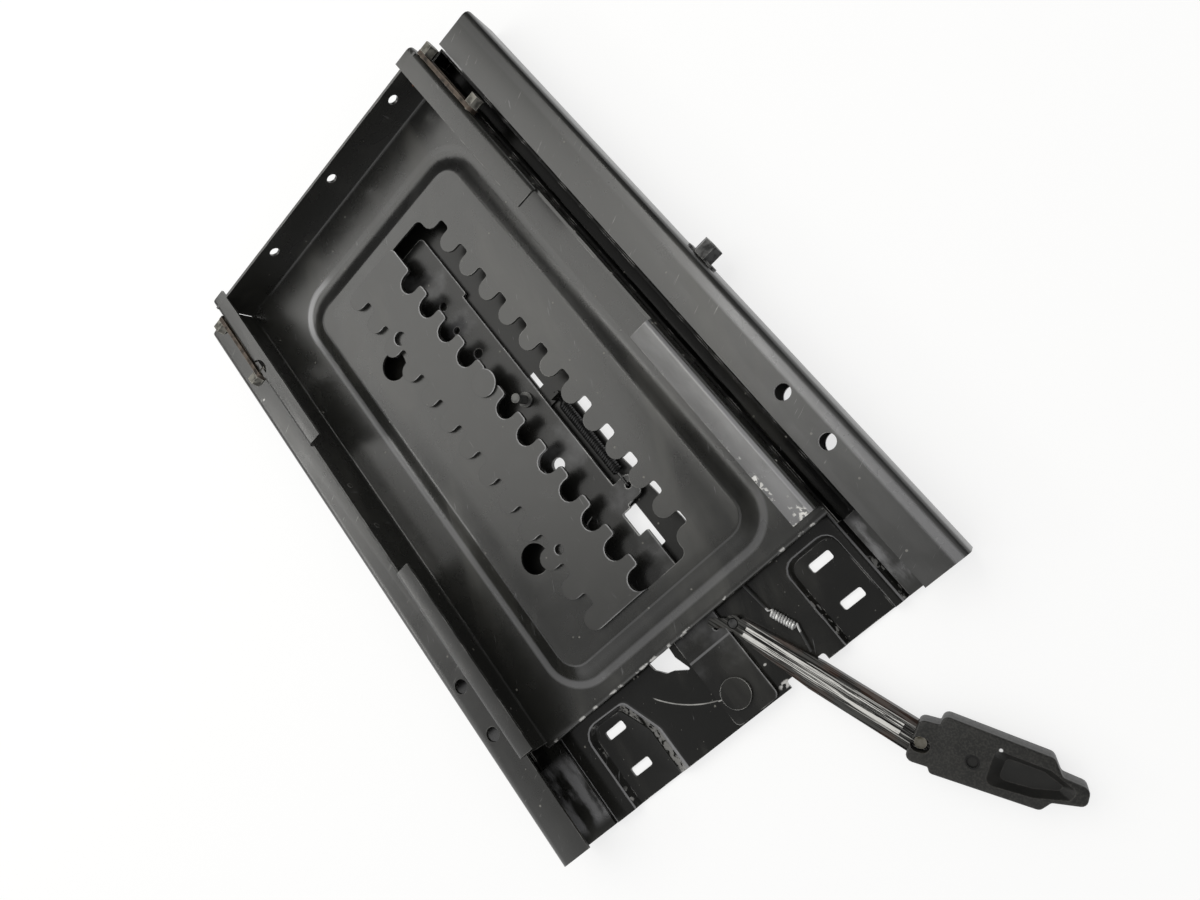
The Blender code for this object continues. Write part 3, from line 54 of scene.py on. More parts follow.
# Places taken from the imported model
TRAY_LOW, TRAY_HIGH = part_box("slide_tray")
PLATE_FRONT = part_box("base_plate")[0].y
PLATE_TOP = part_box("base_plate")[1].z
RAIL_LOW, RAIL_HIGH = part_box("right_rail")
LEFT_RAIL_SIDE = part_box("left_rail")[0].x
LEVER_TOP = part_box("lever_bar")[1].z
GRIP_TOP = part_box("lever_grip")[1].z
LEVER_PIVOT = sum(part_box("lever_pin"), Vector()) / 2
SCREW_CENTRE = sum(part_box("grip_screw"), Vector()) / 2

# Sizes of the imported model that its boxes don't show
LEVER_TURN = math.radians(20.8)
GRIP_TURN = math.radians(36.5)
SHEET = 2 * MM
FLAP_WIDTH = 17 * MM
FLAP_INNER = TRAY_HIGH.x - FLAP_WIDTH
FLAP_FRONT_END = TRAY_LOW.y + 159 * MM
PANEL_FOOT_LOW = (TRAY_LOW.x + 37.2 * MM, TRAY_LOW.y + 12.7 * MM)
PANEL_FOOT_HIGH = (TRAY_HIGH.x - 26.4 * MM, TRAY_HIGH.y - 43.3 * MM)
PANEL_FOOT_RADIUS = 30 * MM

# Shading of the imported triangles
MERGE_REACH = 0.002 * MM
SMOOTH_ANGLE = math.radians(32)

# The rails' worn places, and where the rolled edge's highlight and shade are painted
RAIL_FOOT_LEVEL = 7 * MM
RAIL_FOOT_WEAR = (RAIL_LOW.y + 12 * MM, RAIL_LOW.y + 52 * MM)
RAIL_LIP_LEVEL = 32 * MM
ROLLED_HIGHLIGHT_BAND = (151.5 * MM, 155.0 * MM)
ROLLED_EDGE = 158 * MM
LEFT_RAIL_NICK = (LEFT_RAIL_SIDE + 8 * MM, 235 * MM, RAIL_HIGH.z)

# The tray's worn places, and where its panel's highlights are painted
FLAP_BEND = (TRAY_HIGH.x - 4.2 * MM, TRAY_HIGH.x - 1.8 * MM)
RUST_CHIP = (95 * MM, RAIL_HIGH.y - SHEET, 37 * MM)
WELL_WIDTH = (-128 * MM, 96 * MM)
WELL_LENGTH = (-110 * MM, 300 * MM)
FOOT_BAND = (-2.4 * MM, 0.4 * MM)
CREST_BAND = (23.45 * MM, 23.80 * MM)
HIGHLIGHT_CORNER = (-96 * MM, 268 * MM, 19 * MM)
CHIP_LINE = (TRAY_LOW.y + 6 * MM, TRAY_LOW.y + 58 * MM)
NUGGET_PLACES = (199, 172, 124, 84, 38, 10, -77)
NUGGET_LEVEL = 50 * MM
MARK_PLACES = (125, 86)
MARK_LEVEL = 41 * MM

# Marks on the base plate and on the latch arm, and where the pad rims' highlight is painted
PAD_SLOPE = (3.2 * MM, 6.4 * MM)
PAD_RIM = (7.0 * MM, 7.6 * MM)
SCORE_CENTRE = (1.4 * MM, -90.1 * MM, 0)
SCORE_RADIUS = 76.7 * MM
SCORE_WIDTH = 0.55 * MM
ARM_FOLD = -134 * MM
PALE_EDGE = (19 * MM, PLATE_FRONT + 4 * MM, PLATE_TOP)
PALE_SPECK = (16.5 * MM, PLATE_FRONT + 21 * MM, PLATE_TOP)

# Marks on the lever, its grip and its coil, with painted highlights and shade among them
RIB_HALF = 5.4 * MM
COIL_LENGTH = (-160.5 * MM, -137.0 * MM)
DIMPLE_REACH = 28.4 * MM
DIMPLE_RADIUS = 3.3 * MM
SPARK_REACH = 41 * MM
SPARK_SIDE = 11.5 * MM

# Pattern scales, in repeats per metre
CLOUD_SCALE = 9.0
SMEAR_SCALE = 26.0
MOTTLE_SCALE = 70.0
SPECK_SCALE = 85.0
SCRATCH_SCALE = 950.0
GRAIN_SCALE = 1250.0

# The stage
FRAME_WIDTH = 36
NEAR_CLIP = 0.01
FLOOR_HALF = 6.0
FLOOR_WHITE = 1.04
OVERHEAD_SPAN = (0.47, 0.91)
ASIDE_SPAN = (-0.15, 0.30)
LOW_SPAN = (0.62, 0.40)
BEHIND_SPAN = (0.25, 0.60)
LAMP_COLOUR = (1.0, 0.99, 0.95)
LAMPS = (
    ("key_lamp", (-0.35, 1.05, 1.5), (1.4, 1.5), "key_power"),
    ("side_lamp", (-1.45, 0.75, 1.05), (0.9, 0.3), "side_power"),
    ("strip_lamp", (0.36, 0.6, 1.5), (0.22, 1.3), "strip_power"),
)


class StageSettings(bpy.types.PropertyGroup):
    """Camera, lamps and floor."""
    camera_place: bpy.props.FloatVectorProperty(
        name="Camera place", description="Where the camera stands", subtype="TRANSLATION",
        default=(0.1978, -0.1581, 0.5510))
    camera_turn: bpy.props.FloatVectorProperty(
        name="Camera turn", description="Which way the camera looks", subtype="EULER",
        default=(math.radians(1.457), math.radians(24.640), math.radians(-41.143)))
    camera_lens: bpy.props.FloatProperty(
        name="Lens", description="Focal length on a 36 mm wide frame", default=25.661, unit="CAMERA")
    floor_colour: bpy.props.FloatVectorProperty(
        name="Floor", description="Colour of the floor", subtype="COLOR", default=(0.95, 0.95, 0.94))
    floor_glow: bpy.props.FloatProperty(
        name="Floor glow", description="Share of plain white that the camera sees on the floor",
        default=0.70, min=0.0, max=1.0)
    world_level: bpy.props.FloatProperty(
        name="Surround", description="Level of the white surround", default=0.60, min=0.0)
    overhead_level: bpy.props.FloatProperty(
        name="Overhead", description="Level that gloss sees straight above", default=0.30, min=0.0)
    far_level: bpy.props.FloatProperty(
        name="Far side", description="Share of that level that gloss sees toward the wide rail",
        default=0.12, min=0.0, max=1.0)
    rear_level: bpy.props.FloatProperty(
        name="Rear", description="Share of that level that gloss sees low down behind the rear wall",
        default=0.15, min=0.0, max=1.0)
    key_power: bpy.props.FloatProperty(
        name="Key lamp", description="Power of the large soft lamp overhead", default=9.5, unit="POWER")
    side_power: bpy.props.FloatProperty(
        name="Side lamp", description="Power of the lamp beyond the narrow rail", default=3.4, unit="POWER")
    strip_power: bpy.props.FloatProperty(
        name="Strip lamp", description="Power of the long lamp over the wide rail", default=3.1, unit="POWER")


class PaintSettings(bpy.types.PropertyGroup):
    """Colours of the paint and of the metal under it."""
    satin_black: bpy.props.FloatVectorProperty(
        name="Satin black", description="Paint of the pressings", subtype="COLOR",
        default=(0.0165, 0.0165, 0.0148))
    # Pale grey of rubbed paint, which also paints highlights
    rubbed_or_lit_grey: bpy.props.FloatVectorProperty(
        name="Rubbed grey", description="Paint where it is rubbed thin", subtype="COLOR",
        default=(0.36, 0.36, 0.37))
    # Steel colour where the paint is gone, which also paints glints
    bare_or_glint_steel: bpy.props.FloatVectorProperty(
        name="Bare steel", description="Steel where the paint is gone", subtype="COLOR",
        default=(0.74, 0.73, 0.70))
    dust: bpy.props.FloatVectorProperty(
        name="Dust", description="Dust that lies on the paint", subtype="COLOR", default=(0.17, 0.165, 0.145))
    rust: bpy.props.FloatVectorProperty(
        name="Rust", description="Rust in the chips", subtype="COLOR", default=(0.30, 0.11, 0.045))
    # This colour is painted shade along seams, edges and slopes, not grease
    painted_shade: bpy.props.FloatVectorProperty(
        name="Painted_shade", description="Dark grease in the seams", subtype="COLOR", default=(0.006, 0.006, 0.006))
    paint_roughness: bpy.props.FloatProperty(
        name="Paint roughness", description="Roughness of the satin paint", default=0.27, min=0.0, max=1.0)


class SpotSettings(bpy.types.PropertyGroup):
    """Weld spots on the tray's walls."""
    nugget_radius: bpy.props.FloatProperty(
        name="Nugget radius", description="Radius of a weld nugget on the right wall", default=0.9 * MM,
        unit="LENGTH")
    mark_radius: bpy.props.FloatProperty(
        name="Mark radius", description="Radius of a weld mark on the left wall", default=2.3 * MM,
        unit="LENGTH")
    spot_height: bpy.props.FloatProperty(
        name="Spot height", description="How far a spot stands off its wall", default=0.5 * MM, unit="LENGTH")


class Field:
    """A shader value that adds Math nodes when it is used in arithmetic."""

    def __init__(self, nodes, socket):
        self.nodes = nodes
        self.socket = socket

    def _math(self, operation, first, second=None):
        inputs = {0: first} if second is None else {0: first, 1: second}
        return self.nodes.value("ShaderNodeMath", {"operation": operation}, inputs)

    def __add__(self, other):
        return self._math("ADD", self, other)

    def __sub__(self, other):
        return self._math("SUBTRACT", self, other)

    def __rsub__(self, other):
        return self._math("SUBTRACT", other, self)

    def __mul__(self, other):
        return self._math("MULTIPLY", self, other)

    def __abs__(self):
        return self._math("ABSOLUTE", self)

    __radd__ = __add__
    __rmul__ = __mul__

    def root(self):
        return self._math("SQRT", self)

    def most(self, other):
        return self._math("MAXIMUM", self, other)

    def least(self, other):
        return self._math("MINIMUM", self, other)

    def step(self, low, high, first=0.0, last=1.0):
        """Goes smoothly from first to last while the value goes from low to high."""
        inputs = {0: self, 1: low, 2: high, 3: first, 4: last}
        return self.nodes.value("ShaderNodeMapRange", {"interpolation_type": "SMOOTHSTEP"}, inputs)

    def above(self, level, soft):
        """1 above a level and 0 below it, with a soft border on both sides."""
        return self.step(level - soft, level + soft)

    def below(self, level, soft):
        return self.step(level + soft, level - soft)

    def between(self, band, soft):
        """1 inside a band, which is a pair of values, with a soft border outside it."""
        low, high = band
        return self.step(low - soft, low) * self.step(high + soft, high)


class Nodes:
    """A shader tree whose nodes are added by expressions."""

    def __init__(self, tree):
        self.tree = tree

    def node(self, kind, settings=None, inputs=None):
        """Adds a node: its settings first, then the values or links of its sockets."""
        item = self.tree.nodes.new(kind)
        for key, value in (settings or {}).items():
            setattr(item, key, value)
        for key, value in (inputs or {}).items():
            self.feed(item.inputs[key], value)
        return item

    def feed(self, socket, value):
        """Links a socket, or sets its value; a colour may come without its alpha."""
        if isinstance(value, Field):
            value = value.socket
        if isinstance(value, bpy.types.NodeSocket):
            self.tree.links.new(value, socket)
        elif hasattr(socket.default_value, "__len__") and len(socket.default_value) == 4 and len(value) == 3:
            socket.default_value = (*value, 1.0)
        else:
            socket.default_value = value

    def value(self, kind, settings, inputs, output=0):
        return Field(self, self.node(kind, settings, inputs).outputs[output])

    def vector(self, operation, first, second):
        return self.node("ShaderNodeVectorMath", {"operation": operation}, {0: first, 1: second}).outputs[0]

    def dot(self, first, second):
        inputs = {0: first, 1: second}
        return self.value("ShaderNodeVectorMath", {"operation": "DOT_PRODUCT"}, inputs, "Value")

    def length(self, place):
        return self.value("ShaderNodeVectorMath", {"operation": "LENGTH"}, {0: place}, "Value")

    def axes(self, place):
        parts = self.node("ShaderNodeSeparateXYZ", {}, {0: place})
        return tuple(Field(self, parts.outputs[index]) for index in range(3))


class Finish(Nodes):
    """One material, built from expressions on the object's own coordinates."""

    def __init__(self, name):
        self.material = bpy.data.materials.new(name)
        self.material.use_nodes = True
        super().__init__(self.material.node_tree)
        self.shader = self.tree.nodes["Principled BSDF"]
        self.place = self.node("ShaderNodeTexCoord").outputs["Object"]

    def mapped(self, turn=0.0, stretch=(1, 1, 1), centre=(0, 0, 0)):
        """Object coordinates about a centre, turned about Z and scaled."""
        centred = self.vector("SUBTRACT", self.place, centre)
        turned = self.node("ShaderNodeMapping", {}, {"Vector": centred, "Rotation": (0, 0, turn)})
        return self.vector("MULTIPLY", turned.outputs[0], stretch)

    def noise(self, scale, detail=3.0, place=None, distortion=0.0):
        inputs = {"Vector": place or self.place, "Scale": scale, "Detail": detail, "Distortion": distortion}
        return self.value("ShaderNodeTexNoise", {}, inputs, "Fac")

    def dots(self, scale, size):
        """Scattered round specks; size is the speck's share of the spacing."""
        inputs = {"Vector": self.place, "Scale": scale}
        reach = self.value("ShaderNodeTexVoronoi", {}, inputs, "Distance")
        gaps = self.noise(scale * 0.6, 1.0)
        return reach.step(size * 1.6, size) * gaps.step(0.5, 0.54)

    def spot(self, centre, radii, soft=0.35):
        """1 inside an ellipsoid and 0 outside it."""
        place = self.mapped(0.0, tuple(1 / radius for radius in radii), centre)
        return self.length(place).below(1.0, soft)

    def ring(self, centre, radius, width):
        """1 on a thin circle about a vertical axis."""
        reach = self.length(self.mapped(0.0, (1, 1, 0), centre))
        return abs(reach - radius).step(width, width * 0.4)

    def scratches(self, scale, turn, amount, length=14.0):
        """Thin straight marks along one direction."""
        place = self.mapped(turn, (1.0, 1.0 / length, 1.0 / length))
        fine = self.noise(scale, 1.0, place)
        gaps = self.noise(scale * 0.08, 2.0)
        return fine.step(0.74 - amount * 0.06, 0.79) * gaps.step(0.5, 0.62)

    def outline(self, low, high, radius):
        """Distance outward from a flat rounded rectangle with these corners in X and Y."""
        middle = [(a + b) / 2 for a, b in zip(low, high)]
        half = [(b - a) / 2 - radius for a, b in zip(low, high)]
        places = self.axes(self.place)
        past = [abs(axis - centre) - size for axis, centre, size in zip(places, middle, half)]
        inner = past[0].most(past[1]).least(0)
        clear = [side.most(0) for side in past]
        return (clear[0] * clear[0] + clear[1] * clear[1]).root() + inner - radius

    def geometry(self, name):
        return self.node("ShaderNodeNewGeometry").outputs[name]

    def soft_normal(self, radius):
        return self.node("ShaderNodeBevel", {"samples": 4}, {"Radius": radius}).outputs[0]

    def lean(self, way):
        """How far the surface leans one way."""
        return self.dot(self.geometry("Normal"), way)

    def edge(self, radius=0.8 * MM):
        """1 along sharp edges."""
        return self.dot(self.soft_normal(radius), self.geometry("True Normal")).step(0.985, 0.80)

    def edge_toward(self, way, radius):
        """1 along the edges of a flat piece that look one way."""
        lean = self.vector("SUBTRACT", self.soft_normal(radius), self.geometry("True Normal"))
        return self.dot(lean, way).step(0.08, 0.30)

    def mix(self, mask, below, above):
        """A colour that goes from one to another with the mask."""
        return self.node("ShaderNodeMix", {"data_type": "RGBA"}, {0: mask, 6: below, 7: above}).outputs[2]

    def bump(self, height, distance, strength=1.0, under=None):
        inputs = {"Height": height, "Distance": distance, "Strength": strength}
        if under is not None:
            inputs["Normal"] = under
        return self.node("ShaderNodeBump", {}, inputs).outputs[0]

    def close(self, colour, roughness, metallic=0.0, normal=None, level=0.5):
        """Feeds the shader and returns the finished material."""
        self.feed(self.shader.inputs["Base Color"], colour)
        self.feed(self.shader.inputs["Roughness"], roughness)
        self.feed(self.shader.inputs["Metallic"], metallic)
        self.shader.inputs["Specular IOR Level"].default_value = level
        if normal is not None:
            self.feed(self.shader.inputs["Normal"], normal)
        return self.material


class Coat:
    """Worn satin paint in layers: film, rubbed places and painted highlights, metal where the paint is gone
    and painted glints, rust, and painted shade, each with its own mask.
    """

    def __init__(self, name, shade=1.0, rough=None, worn=0.5, level=0.85, metal_share=0.45):
        self.paint = bpy.context.scene.seat_slide_paint
        self.finish = Finish(name)
        self.level = level
        self.metal_share = metal_share
        self.rough = self.paint.paint_roughness if rough is None else rough
        finish = self.finish
        self.cloud = finish.noise(CLOUD_SCALE, 4.0)
        self.mottle = finish.noise(MOTTLE_SCALE, 4.0)
        base = tuple(part * shade for part in self.paint.satin_black)
        paler = tuple(part * 1.45 for part in base)
        patches = self.cloud.step(0.35, 0.7) * 0.6 + self.mottle.step(0.45, 0.75) * 0.25
        self.colour = finish.mix(patches, base, paler)
        smear = finish.noise(SMEAR_SCALE, 5.0, finish.mapped(0.3, (1.0, 0.35, 1.0)), 0.6).step(0.52, 0.78)
        self.film = smear * 0.16 + finish.dots(SPECK_SCALE, 0.05) * 0.9
        # Rubbed places; painted highlights are laid into this layer as well
        self.thin = finish.scratches(SCRATCH_SCALE, 0.5, 0.4) * 0.25
        self.metal = finish.edge() * self.mottle.step(0.46, 0.62) * worn
        # Mask of painted shade, laid in the painted shade colour
        self.dark = None
        self.rusty = None

    def rub_or_highlight(self, mask):
        """Adds a place where the paint is rubbed, or a painted highlight, in pale grey."""
        self.thin = self.thin.most(mask)

    def bare_or_glint(self, mask):
        """Adds a place where the paint is gone, or a painted glint, in steel colour."""
        self.metal = self.metal.most(mask)

    def close(self):
        """Lays the layers over each other and returns the finished material."""
        finish, paint = self.finish, self.paint
        colour = finish.mix(self.film, self.colour, paint.dust)
        colour = finish.mix(self.thin, colour, paint.rubbed_or_lit_grey)
        colour = finish.mix(self.metal, colour, paint.bare_or_glint_steel)
        if self.rusty is not None:
            colour = finish.mix(self.rusty, colour, paint.rust)
        if self.dark is not None:
            colour = finish.mix(self.dark, colour, paint.painted_shade)
        varied = (self.cloud - 0.5) * 0.12 + (self.mottle - 0.5) * 0.12
        roughness = varied + self.film * 0.45 - self.thin * 0.08 + self.rough
        normal = finish.bump(finish.noise(GRAIN_SCALE, 2.0), 0.03 * MM, 0.45)
        normal = finish.bump(self.cloud, 0.35 * MM, 0.22, normal)
        return finish.close(colour, roughness, self.metal * self.metal_share, normal, self.level)


def steel(name, colour, dark, roughness, metallic=0.9, shine=None):
    """Plain or plated steel with dark stains and, if asked, bright edges."""
    finish = Finish(name)
    stain = finish.noise(180.0, 5.0).step(0.42, 0.68)
    fine = finish.noise(2600.0, 2.0)
    shade = finish.mix(stain, colour, dark)
    if shine is not None:
        shade = finish.mix(finish.edge(0.6 * MM) * 0.8, shade, shine)
    rough = roughness + stain * 0.18 + (fine - 0.5) * 0.08
    return finish.close(shade, rough, metallic, finish.bump(fine, 0.02 * MM, 0.4))


def scored_arc(finish, band):
    """The arc that the latch arm's free end scores, where X lies in a band."""
    x = finish.axes(finish.place)[0]
    return finish.ring(SCORE_CENTRE, SCORE_RADIUS, SCORE_WIDTH) * x.between(band, 2 * MM)


def new_group(name, inputs=()):
    """A Geometry Nodes tree that takes and gives geometry, with its two end nodes."""
    tree = bpy.data.node_groups.new(name, "GeometryNodeTree")
    for label, kind in (("Geometry", "NodeSocketGeometry"), *inputs):
        tree.interface.new_socket(label, in_out="INPUT", socket_type=kind)
    tree.interface.new_socket("Geometry", in_out="OUTPUT", socket_type="NodeSocketGeometry")
    return tree, tree.nodes.new("NodeGroupInput"), tree.nodes.new("NodeGroupOutput")


def smooth_tree():
    """A node tree that joins loose triangles and shades them smooth between sharp edges."""
    tree, entry, leave = new_group("smooth_between_edges")
    merge = tree.nodes.new("GeometryNodeMergeByDistance")
    merge.inputs["Distance"].default_value = MERGE_REACH
    faces = tree.nodes.new("GeometryNodeSetShadeSmooth")
    edges = tree.nodes.new("GeometryNodeSetShadeSmooth")
    edges.domain = "EDGE"
    angle = tree.nodes.new("GeometryNodeInputMeshEdgeAngle")
    flat = tree.nodes.new("FunctionNodeCompare")
    flat.operation = "LESS_THAN"
    flat.inputs[1].default_value = SMOOTH_ANGLE
    for source, target in (
            (entry.outputs[0], merge.inputs["Geometry"]),
            (merge.outputs[0], faces.inputs["Geometry"]),
            (faces.outputs[0], edges.inputs["Geometry"]),
            (angle.outputs["Unsigned Angle"], flat.inputs[0]),
            (flat.outputs[0], edges.inputs["Shade Smooth"]),
            (edges.outputs[0], leave.inputs[0])):
        tree.links.new(source, target)
    return tree


def spot_tree():
    """A node tree that puts a flat dome on every vertex of its input mesh."""
    inputs = (("Radius", "NodeSocketFloat"), ("Height", "NodeSocketFloat"), ("Finish", "NodeSocketMaterial"))
    tree, entry, leave = new_group("wall_spots", inputs)
    dome = tree.nodes.new("GeometryNodeMeshUVSphere")
    dome.inputs["Segments"].default_value = 16
    dome.inputs["Rings"].default_value = 8
    dome.inputs["Radius"].default_value = 1.0
    size = tree.nodes.new("ShaderNodeCombineXYZ")
    spots = tree.nodes.new("GeometryNodeInstanceOnPoints")
    real = tree.nodes.new("GeometryNodeRealizeInstances")
    smooth = tree.nodes.new("GeometryNodeSetShadeSmooth")
    coat = tree.nodes.new("GeometryNodeSetMaterial")
    for source, target in (
            (entry.outputs["Height"], size.inputs["X"]),
            (entry.outputs["Radius"], size.inputs["Y"]),
            (entry.outputs["Radius"], size.inputs["Z"]),
            (entry.outputs["Geometry"], spots.inputs["Points"]),
            (dome.outputs["Mesh"], spots.inputs["Instance"]),
            (size.outputs[0], spots.inputs["Scale"]),
            (spots.outputs[0], real.inputs[0]),
            (real.outputs[0], smooth.inputs["Geometry"]),
            (smooth.outputs[0], coat.inputs["Geometry"]),
            (entry.outputs["Finish"], coat.inputs["Material"]),
            (coat.outputs[0], leave.inputs[0])):
        tree.links.new(source, target)
    return tree


def baked(name, places, tree, values):
    """Runs a node tree on loose vertices and returns the result as a plain mesh object."""
    seed_mesh = bpy.data.meshes.new(name + "_places")
    seed_mesh.from_pydata(places, [], [])
    seed = bpy.data.objects.new(name + "_places", seed_mesh)
    bpy.context.scene.collection.objects.link(seed)
    modifier = seed.modifiers.new("spots", "NODES")
    modifier.node_group = tree
    for item in tree.interface.items_tree:
        if item.in_out == "INPUT" and item.name in values:
            modifier[item.identifier] = values[item.name]
    graph = bpy.context.evaluated_depsgraph_get()
    mesh = bpy.data.meshes.new_from_object(seed.evaluated_get(graph))
    mesh.name = name
    piece = bpy.data.objects.new(name, mesh)
    bpy.context.scene.collection.objects.link(piece)
    bpy.data.objects.remove(seed, do_unlink=True)
    return piece


def dress(names, material):
    """Gives CAD nodes a material, with smooth shading between their sharp edges."""
    tree = bpy.data.node_groups.get("smooth_between_edges") or smooth_tree()
    for name in names:
        item = NODES[name]
        for slot in item.material_slots:
            slot.material = material
        item.modifiers.new("smooth", "NODES").node_group = tree


class SEATSLIDE_OT_rails(bpy.types.Operator):
    """Paint both rails and the standoff: painted highlight beside the rolled edge, painted shade on its outer
    face, worn foot, scratched lips and one nick
    """
    bl_idname = "seatslide.rails"
    bl_label = "Rails"

    def execute(self, context):
        coat = Coat("rail_satin_black", rough=0.29, worn=0.3, level=0.95)
        finish = coat.finish
        x, y, z = finish.axes(finish.place)
        bands = finish.noise(95.0, 4.0, finish.mapped(0.0, (1.0, 0.4, 1.0))).step(0.38, 0.60)
        foot = z.below(RAIL_FOOT_LEVEL, 1 * MM) * y.between(RAIL_FOOT_WEAR, 9 * MM)
        coat.rub_or_highlight(foot * bands * 0.55)
        lips = z.above(RAIL_LIP_LEVEL, 2 * MM) * finish.scratches(1200.0, 1.2, 1.0, 20.0)
        coat.bare_or_glint(lips * 0.25)
        # Painted highlight: a pale band beside the rolled edge, stronger toward the front
        rolled = x.between(ROLLED_HIGHLIGHT_BAND, 2.5 * MM) * z.above(RAIL_HIGH.z - 0.6 * MM, 0.4 * MM)
        toward_front = y.below(50 * MM, 50 * MM)
        coat.rub_or_highlight(rolled * (toward_front * 0.36 + 0.05))
        strip = z.above(RAIL_HIGH.z - 1 * MM, 0.5 * MM) * x.above(50 * MM, 50 * MM)
        handled = y.below(-15 * MM, 65 * MM) * (bands * 0.3 + 0.7)
        coat.thin = coat.thin + strip * handled * 0.10
        # Painted shade on the outer face of the rolled edge
        coat.dark = x.above(ROLLED_EDGE, 0.6 * MM) * 0.65
        coat.bare_or_glint(finish.spot(LEFT_RAIL_NICK, (1.2 * MM, 0.8 * MM, 3 * MM)) * 0.6)
        dress(["right_rail", "left_rail"], coat.close())
        standoff = steel("standoff_black", colour=(0.07, 0.07, 0.07), dark=(0.02, 0.02, 0.02),
                         roughness=0.35, metallic=0.6, shine=(0.25, 0.25, 0.24))
        dress(["side_standoff"], standoff)
        return {"FINISHED"}


class SEATSLIDE_OT_tray(bpy.types.Operator):
    """Paint the tray, its runners and pads, with the rubbed front flap, the chips, the rust chip, painted
    highlights and shade on the panel, and runners darkened as painted shade
    """
    bl_idname = "seatslide.tray"
    bl_label = "Tray"

    def execute(self, context):
        coat = Coat("tray_satin_black", worn=0.35)
        front_flap = self.rub_flap(coat)
        self.add_chips(coat, front_flap)
        self.paint_panel_light(coat)
        dress(["slide_tray"], coat.close())
        # Runner paint much darker and less glossy than the tray's: painted shade for the band between the
        # tray's wall and the rail
        runner = Coat("runner_greasy_black", shade=0.15, rough=0.22, worn=0.4, level=0.1)
        dress(["right_runner", "left_runner"], runner.close())
        pad = steel("pad_black", colour=(0.012, 0.012, 0.012), dark=(0.02, 0.02, 0.02),
                    roughness=0.5, metallic=0.0)
        dress(["right_front_pad", "right_rear_pad", "left_front_pad", "left_rear_pad"], pad)
        return {"FINISHED"}

    def rub_flap(self, coat):
        """The right front flap, rubbed grey, with a brighter bend; returns the flap's own mask."""
        finish = coat.finish
        x, y, z = finish.axes(finish.place)
        on_flap = z.above(TRAY_HIGH.z - 0.8 * MM, 0.4 * MM) * x.above(FLAP_INNER - 0.25 * MM, 0.25 * MM)
        front_flap = on_flap * y.below(FLAP_FRONT_END + 0.5 * MM, 0.5 * MM)
        wiped = finish.noise(48.0, 5.0, finish.mapped(0.0, (1.6, 0.5, 1.0))).step(0.30, 0.62)
        toward_end = y.step(FLAP_FRONT_END, TRAY_LOW.y + 20 * MM)
        coat.rub_or_highlight(front_flap * (wiped * 0.14 + 0.12 + toward_end * 0.16))
        coat.rub_or_highlight(front_flap * x.between(FLAP_BEND, 1.6 * MM) * (toward_end * 0.25 + 0.45))
        return front_flap

    def add_chips(self, coat, front_flap):
        """Bare chips along the flap's inner edge, over its front end and on the front lip; one rust chip."""
        finish = coat.finish
        x, y, z = finish.axes(finish.place)
        front = TRAY_LOW.y
        grit = finish.noise(330.0, 4.0).step(0.50, 0.55)
        coarse = finish.noise(120.0, 3.0, finish.mapped(0.0, (1.0, 0.5, 1.0))).step(0.46, 0.52)
        line = x.between((FLAP_INNER, FLAP_INNER + 2.2 * MM), 1.2 * MM) * y.between(CHIP_LINE, 8 * MM)
        corner_place = (FLAP_INNER + 9 * MM, front + 6 * MM, TRAY_HIGH.z)
        corner = finish.spot(corner_place, (8 * MM, 11 * MM, 6 * MM))
        rim = y.below(front + 5.1 * MM, 0.9 * MM)
        coat.bare_or_glint(front_flap * line.most(corner).most(rim) * grit * coarse * 0.95)
        lip = z.below(20 * MM, 1 * MM) * y.below(front + 1.75 * MM, 0.75 * MM)
        coat.bare_or_glint(lip * finish.noise(150.0, 3.0).step(0.56, 0.62) * 0.7)
        rust_chip = finish.spot(RUST_CHIP, (1.5 * MM, 1.5 * MM, 1.8 * MM), 0.3)
        coat.rusty = rust_chip * finish.noise(700.0, 3.0).step(0.30, 0.45)

    def paint_panel_light(self, coat):
        """Painted highlights along the raised panel's foot and crest, strongest at its left, front and
        rear-left corner, and painted shade on its slopes that face the rear.
        """
        finish = coat.finish
        x, y, z = finish.axes(finish.place)
        well = x.between(WELL_WIDTH, 1 * MM) * y.between(WELL_LENGTH, 1 * MM)
        reach = finish.outline(PANEL_FOOT_LOW, PANEL_FOOT_HIGH, PANEL_FOOT_RADIUS)
        # Painted highlights: pale lines at the panel's foot and crest
        foot = reach.between(FOOT_BAND, 2.2 * MM) * z.below(20.5 * MM, 0.5 * MM)
        crest = z.between(CREST_BAND, 0.10 * MM)
        left = x.below(-67 * MM, 9 * MM)
        front = y.below(-75 * MM, 9 * MM)
        corner = finish.spot(HIGHLIGHT_CORNER, (24 * MM, 24 * MM, 20 * MM), 0.9)
        lit = (left * 0.30).most(front * 0.22).most(0.05) + corner * 0.5
        coat.rub_or_highlight((foot + crest * 0.6) * well * lit)
        # Painted shade on the slopes that lean toward the rear
        coat.dark = finish.lean((0.35, 0.94, 0)).step(0.06, 0.24) * well * 0.7
        # The rear-left corner keeps its paint
        left_corner = x.below(-139 * MM, 1 * MM) * y.above(298 * MM, 2 * MM)
        coat.metal = coat.metal * (1 - left_corner)


